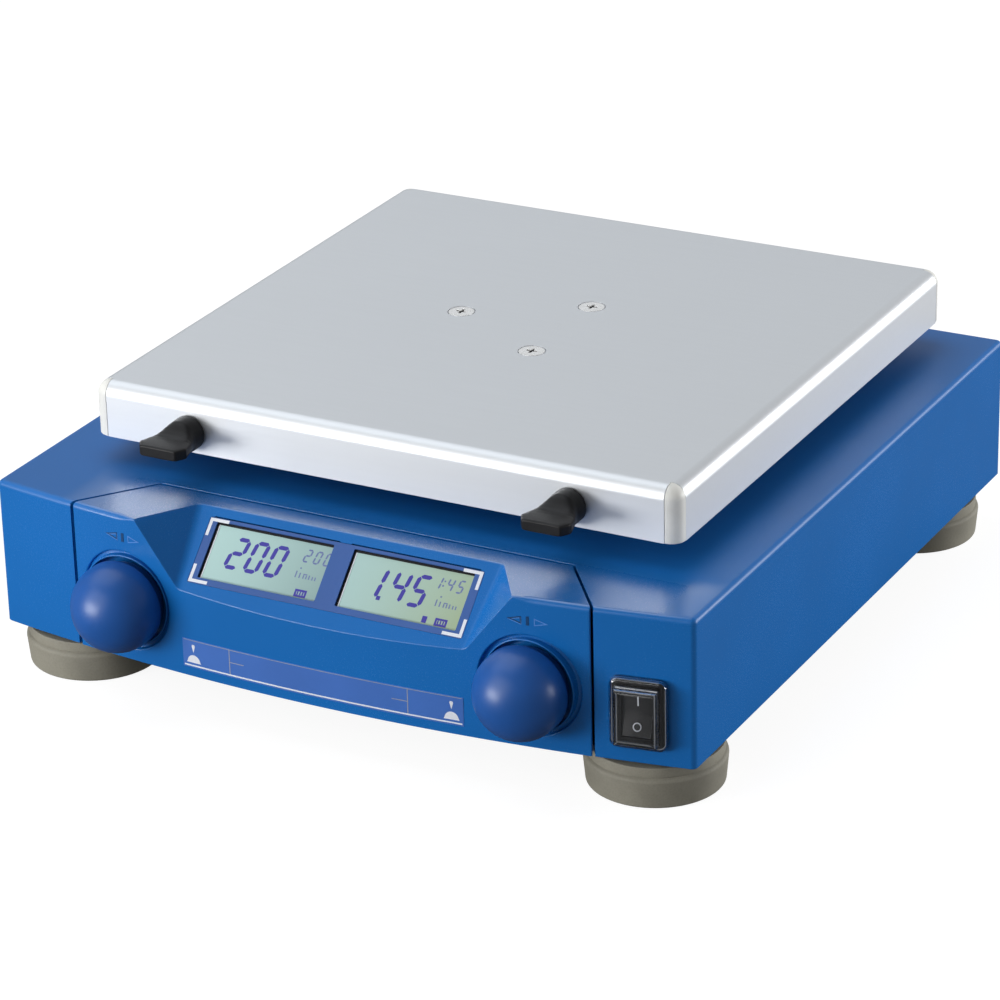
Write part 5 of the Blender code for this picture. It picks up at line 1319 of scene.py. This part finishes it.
def corner_post(size, name, sx, sy):
    """A corner piece: a square column with one broad round side, closed above like the tray's bends. Its
    outline shrinks towards its inner corner by the bend's radius times one less the cosine of an angle,
    and rises by the radius times the sine."""
    side, bend, peak = POST_SIDE, size.bend, TRAY_TOP - 0.05
    outline = rounded([(0, 0), (side, 0), (side, side), (0, side)], [0.3, 0.15, side - 0.2, 0.15], 8)
    rows = [(0.96, TRAY_BOTTOM), (1.0, TRAY_BOTTOM + 0.25)]
    rows += [(1 - bend / side * (1 - math.cos(a)), peak - bend * (1 - math.sin(a)))
             for a in np.radians(np.linspace(0, 90, 12))]
    grid = np.stack([np.column_stack([outline * scale, np.full(len(outline), z)]) for scale, z in rows])
    reach = np.array([TRAY_HALF_WIDE, TRAY_HALF]) - side
    grid[..., :2] = (grid[..., :2] + reach) * np.array([sx, sy]) + np.array([TRAY_X, TRAY_Y])
    return skin("corner_post_" + name, grid)


def screw_places():
    """The three screws' places on a circle about the middle of the tray's depth."""
    turn, radius = np.radians([60.0, 180.0, 300.0]), 27.4
    return np.column_stack([radius * np.cos(turn), TRAY_Y + radius * np.sin(turn)])


def tray_screw_pieces():
    """Countersunk screws: a flat head with a fine bevelled rim, a cone, a shank and a cross recess."""
    profile = [(0, 0.0), (4.35, 0.0), (4.7, -0.12), (4.8, -0.4), (2.5, -2.7), (2.5, -6.0), (2.2, -6.2),
               (0, -6.2)]
    cross = [np.array(rectangle(*sides)) for sides in ((4.1, 1.3), (1.3, 4.1))]
    for index, (x, y) in enumerate(screw_places(), 1):
        mapper = on_top(x, y, TRAY_TOP)
        screw = turned("tray_bolt_" + str(index), profile, mapper, 72)
        carve(screw, *cross_cutters(2.3, 1.6, 0.0, 1.9, mapper))
        hand_over(screw, screw_steel(), "table", "tray_screw_" + str(index))
        # A black cross plate down in the screw's recess: painted shadow.
        floor = plates("bolt_recess_" + str(index), cross, mapper, -1.0, -0.45)
        hand_over(floor, black_plastic(), "table")


def clamp_pieces():
    """Winged clamp screws: a section carried outwards from a round hub to a flat wing. The section is a
    curve whose half width and half height are raised to two over an exponent that grows from a circle's
    to a rounded bar's; all three follow the way out by straight steps between stations."""
    stations = np.array([
        (0.3, 5.9, 5.9, 2.0), (0.6, 6.3, 6.3, 2.0), (3.0, 6.3, 6.3, 2.0), (6.2, 6.2, 6.2, 2.0),
        (7.6, 6.4, 5.4, 2.2), (9.2, 6.9, 4.0, 2.6), (10.8, 7.5, 2.9, 3.2), (12.4, 8.1, 2.3, 4.2),
        (14.2, 8.6, 2.15, 6.0), (17.4, 9.35, 2.15, 8.0), (18.6, 8.9, 2.15, 8.0), (20.7, 7.5, 2.1, 8.0),
        (21.2, 7.05, 1.85, 8.0), (21.4, 6.7, 1.5, 8.0)])
    out = np.concatenate([np.linspace(0.3, 0.6, 3), np.linspace(0.9, 17.0, 40), np.linspace(17.4, 21.4, 16)])
    wide, high, power = (np.interp(out, stations[:, 0], column)[:, None] for column in stations[:, 1:].T)
    turn = np.linspace(0, 2 * math.pi, 96, endpoint=False)
    c, s = np.cos(turn), np.sin(turn)
    across = wide * np.sign(c) * np.abs(c) ** (2 / power)
    up = high * np.sign(s) * np.abs(s) ** (2 / power)
    grid = np.stack([across, up, np.broadcast_to(out[:, None], across.shape)], axis=-1)
    for side, sign in SIDES.items():
        mapper = on_clamp(sign * CLAMP_X)
        wing = skin("wing_" + side, grid, mapper)
        stem = turned("clamp_stem", [(0, -8), (2.2, -8), (2.5, -7.7), (2.5, 2.0), (0, 2.0)], mapper, 48)
        carve(wing, stem, operation="UNION")
        hand_over(wing, black_plastic(), "clamp_" + side, "clamp_screw_" + side, sharp=50)
        disc = [(0, -8.3), (4.7, -8.3), (5.0, -8.6), (5.0, -9.6), (4.7, -9.9), (0, -9.9)]
        stop = turned("clamp_collar_" + side, disc, mapper, 48)
        hand_over(stop, turned_steel(), "clamp_" + side, "clamp_stop_" + side)


# CAD nodes that keep their shape

def kept_nodes():
    """Every CAD node that keeps its own shape, with its finish and the ease of its edges."""
    table = {
        "base_plate": (plated_sheet, 0.3),
        "power_board": (circuit_board, 0.0),
        "display_board": (circuit_board, 0.0),
        "encoder_left": (black_plastic, 0.0),
        "encoder_right": (black_plastic, 0.0),
        "bearing_housing": (cast_metal, 0.3),
        "counterweight": (cast_metal, 0.3),
        "table_hub": (cast_metal, 0.3),
        "carrier_plate": (plated_sheet, 0.2),
        "motor_housing": (black_plastic, 0.3),
        "drive_belt": (belt_rubber, 0.0),
        "motor_pulley": (turned_steel, 0.0),
        "crank_pulley": (turned_steel, 0.0),
        "crank_shaft": (turned_steel, 0.0),
        "crank_bearing_lower": (turned_steel, 0.0),
        "crank_bearing_upper": (turned_steel, 0.0),
        "hub_bearing": (turned_steel, 0.0),
    }
    for index in "123":
        table["idler_post_" + index] = (cast_metal, 0.2)
        table["idler_crank_" + index] = (turned_steel, 0.2)
    for side in SIDES:
        table["encoder_shaft_" + side] = (turned_steel, 0.0)
        table["encoder_plunger_" + side] = (turned_steel, 0.0)
    for node, (material, bevel) in table.items():
        dress(node, material(), bevel)


# Stage

LAMP_AIM = (0.0, -0.1, 0.05)
LAMPS = {
    "key": ((-0.62, -0.92, 0.125), 0.50, 0.28, 6.6, (1.0, 1.0, 1.0)),
    "soft": ((-0.8, -1.4, 0.85), 1.6, 1.1, 10.2, (1.0, 0.99, 0.97)),
    "top": ((-1.1, 0.2, 2.2), 2.2, 2.4, 22.5, (0.90, 0.95, 1.0)),
    "back": ((-0.60, 1.75, 0.95), 2.4, 1.2, 4.4, (0.92, 0.96, 1.0)),
    "side": ((1.45, 1.05, 0.30), 1.8, 0.5, 29, (1.0, 1.0, 1.0)),
}
CAMERA_PLACE = (0.650797, -1.205717, 0.645181)
CAMERA_RIGHT = (0.8844291919, 0.4661212407, -0.0227154877)
CAMERA_AWAY = (0.4345668699, -0.8048609591, 0.4041663916)
CAMERA_LENS, SENSOR_WIDTH = 148.918, 36
FLOOR_SHOWN, FLOOR_REACH, FLOOR_COUNT = 0.90, 6, 13
SKY_DIM, SKY_SHOWN = 0.22, 1.0


def area_light(name, place_at, width, height, power, tint):
    """A soft rectangular lamp that looks at the part, its power in watts."""
    data = bpy.data.lights.new(name, "AREA")
    data.shape = "RECTANGLE"
    data.size, data.size_y = width, height
    data.energy = power
    data.color = tint
    lamp = bpy.data.objects.new(name, data)
    lamp.location = place_at
    lamp.rotation_euler = (Vector(LAMP_AIM) - Vector(place_at)).to_track_quat("-Z", "Y").to_euler()
    bpy.context.scene.collection.objects.link(lamp)


def stage_pieces():
    """The floor, which shows white to the camera and keeps the shadow, the world, the lamps, the camera."""
    scene = bpy.context.scene
    scene.view_settings.view_transform = "Standard"
    finish = Finish("floor_white", (0.22, 0.22, 0.22), 0.9)
    seen = finish.node("LightPath")
    finish.feed("Specular IOR Level", 0.0)
    finish.feed("Emission Color", finish.mix(seen, (0.0, 0.0, 0.0), (FLOOR_SHOWN,) * 3))
    finish.feed("Emission Strength", 1.0)
    reach = np.linspace(-FLOOR_REACH, FLOOR_REACH, FLOOR_COUNT)
    x, y = np.meshgrid(reach, reach)
    mesh = bpy.data.meshes.new("floor")
    index = np.arange(x.size).reshape(x.shape)
    mesh.from_pydata(np.column_stack([x.ravel(), y.ravel(), np.zeros(x.size)]), [], quads(index).tolist())
    mesh.materials.append(finish.material)
    floor = bpy.data.objects.new("floor", mesh)
    scene.collection.objects.link(floor)

    world = bpy.data.worlds.new("studio")
    sky = Nodes(world)
    background = sky.tree.nodes["Background"]
    sky.join(background.inputs["Color"], (1.0, 1.0, 1.0))
    sky.join(background.inputs["Strength"], SKY_DIM + sky.node("LightPath") * (SKY_SHOWN - SKY_DIM))
    scene.world = world

    for name, lamp in LAMPS.items():
        area_light(name, *lamp)

    data = bpy.data.cameras.new("camera")
    data.sensor_width = SENSOR_WIDTH
    data.lens = CAMERA_LENS
    camera = bpy.data.objects.new("camera", data)
    right, away = Vector(CAMERA_RIGHT).normalized(), Vector(CAMERA_AWAY).normalized()
    turn = Matrix((right, away.cross(right).normalized(), away)).transposed()
    camera.matrix_world = Matrix.Translation(CAMERA_PLACE) @ turn.to_4x4()
    scene.collection.objects.link(camera)
    scene.camera = camera


# Operators, panel and registration

class SHAKER_OT_cover(bpy.types.Operator):
    """Build the moulded cover and the collar round the hub's opening"""
    bl_idname = "shaker.cover"
    bl_label = "Cover"

    def execute(self, context):
        cover_pieces(sizes())
        return {"FINISHED"}


class SHAKER_OT_console(bpy.types.Operator):
    """Build the console panel, the knobs' dishes and the marks over them"""
    bl_idname = "shaker.console"
    bl_label = "Console"

    def execute(self, context):
        console_pieces(sizes())
        return {"FINISHED"}


class SHAKER_OT_display(bpy.types.Operator):
    """Build the printed film, the display cells and their digits"""
    bl_idname = "shaker.display"
    bl_label = "Display"

    def execute(self, context):
        display_pieces(sizes())
        return {"FINISHED"}


class SHAKER_OT_label(bpy.types.Operator):
    """Build the label strip and its pictograms"""
    bl_idname = "shaker.label"
    bl_label = "Label strip"

    def execute(self, context):
        label_pieces(sizes())
        return {"FINISHED"}


class SHAKER_OT_knobs(bpy.types.Operator):
    """Build the two domed knobs"""
    bl_idname = "shaker.knobs"
    bl_label = "Knobs"

    def execute(self, context):
        knob_pieces(sizes())
        return {"FINISHED"}


class SHAKER_OT_switch(bpy.types.Operator):
    """Build the rocker switch and its clear cover"""
    bl_idname = "shaker.switch"
    bl_label = "Switch"

    def execute(self, context):
        switch_pieces(sizes())
        return {"FINISHED"}


class SHAKER_OT_inlet(bpy.types.Operator):
    """Build the mains inlet and its fuse drawer"""
    bl_idname = "shaker.inlet"
    bl_label = "Inlet"

    def execute(self, context):
        inlet_pieces()
        return {"FINISHED"}


class SHAKER_OT_feet(bpy.types.Operator):
    """Build the four rubber feet and their bolts"""
    bl_idname = "shaker.feet"
    bl_label = "Feet"

    def execute(self, context):
        feet_pieces(sizes())
        return {"FINISHED"}


class SHAKER_OT_tray(bpy.types.Operator):
    """Build the folded tray and its corner posts"""
    bl_idname = "shaker.tray"
    bl_label = "Tray"

    def execute(self, context):
        tray_pieces(sizes())
        return {"FINISHED"}


class SHAKER_OT_tray_screws(bpy.types.Operator):
    """Build the three countersunk screws of the tray"""
    bl_idname = "shaker.tray_screws"
    bl_label = "Tray screws"

    def execute(self, context):
        tray_screw_pieces()
        return {"FINISHED"}


class SHAKER_OT_clamps(bpy.types.Operator):
    """Build the two winged clamp screws and their stops"""
    bl_idname = "shaker.clamps"
    bl_label = "Clamp screws"

    def execute(self, context):
        clamp_pieces()
        return {"FINISHED"}


class SHAKER_OT_kept(bpy.types.Operator):
    """Finish the base plate, the drive and the electronics, which keep their CAD shapes"""
    bl_idname = "shaker.kept"
    bl_label = "Base, drive and boards"

    def execute(self, context):
        kept_nodes()
        return {"FINISHED"}


class SHAKER_OT_stage(bpy.types.Operator):
    """Set up the floor, the world, the lamps and the camera"""
    bl_idname = "shaker.stage"
    bl_label = "Stage"

    def execute(self, context):
        stage_pieces()
        return {"FINISHED"}


STEPS = (SHAKER_OT_stage, SHAKER_OT_cover, SHAKER_OT_console, SHAKER_OT_display, SHAKER_OT_label,
         SHAKER_OT_knobs, SHAKER_OT_switch, SHAKER_OT_inlet, SHAKER_OT_feet, SHAKER_OT_tray,
         SHAKER_OT_tray_screws, SHAKER_OT_clamps, SHAKER_OT_kept)


class SHAKER_PT_panel(bpy.types.Panel):
    """The shaker's sizes, colours and building steps"""
    bl_idname = "SHAKER_PT_panel"
    bl_label = "Orbital shaker"
    bl_space_type = "VIEW_3D"
    bl_region_type = "UI"
    bl_category = "Shaker"

    def draw(self, context):
        for group in (context.scene.shaker_sizes, context.scene.shaker_colours):
            column = self.layout.column(align=True)
            for name in type(group).__annotations__:
                column.prop(group, name)
        column = self.layout.column(align=True)
        for step in STEPS:
            column.operator(step.bl_idname)


CLASSES = (ShakerSizes, ShakerColours, *STEPS, SHAKER_PT_panel)


def register():
    for kind in CLASSES:
        bpy.utils.register_class(kind)
    bpy.types.Scene.shaker_sizes = bpy.props.PointerProperty(type=ShakerSizes)
    bpy.types.Scene.shaker_colours = bpy.props.PointerProperty(type=ShakerColours)


def unregister():
    del bpy.types.Scene.shaker_colours
    del bpy.types.Scene.shaker_sizes
    for kind in reversed(CLASSES):
        bpy.utils.unregister_class(kind)


def main():
    """Builds every piece in order."""
    register()
    for step in STEPS:
        family, name = step.bl_idname.split(".")
        getattr(getattr(bpy.ops, family), name)()
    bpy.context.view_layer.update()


if __name__ == "__main__":
    main()
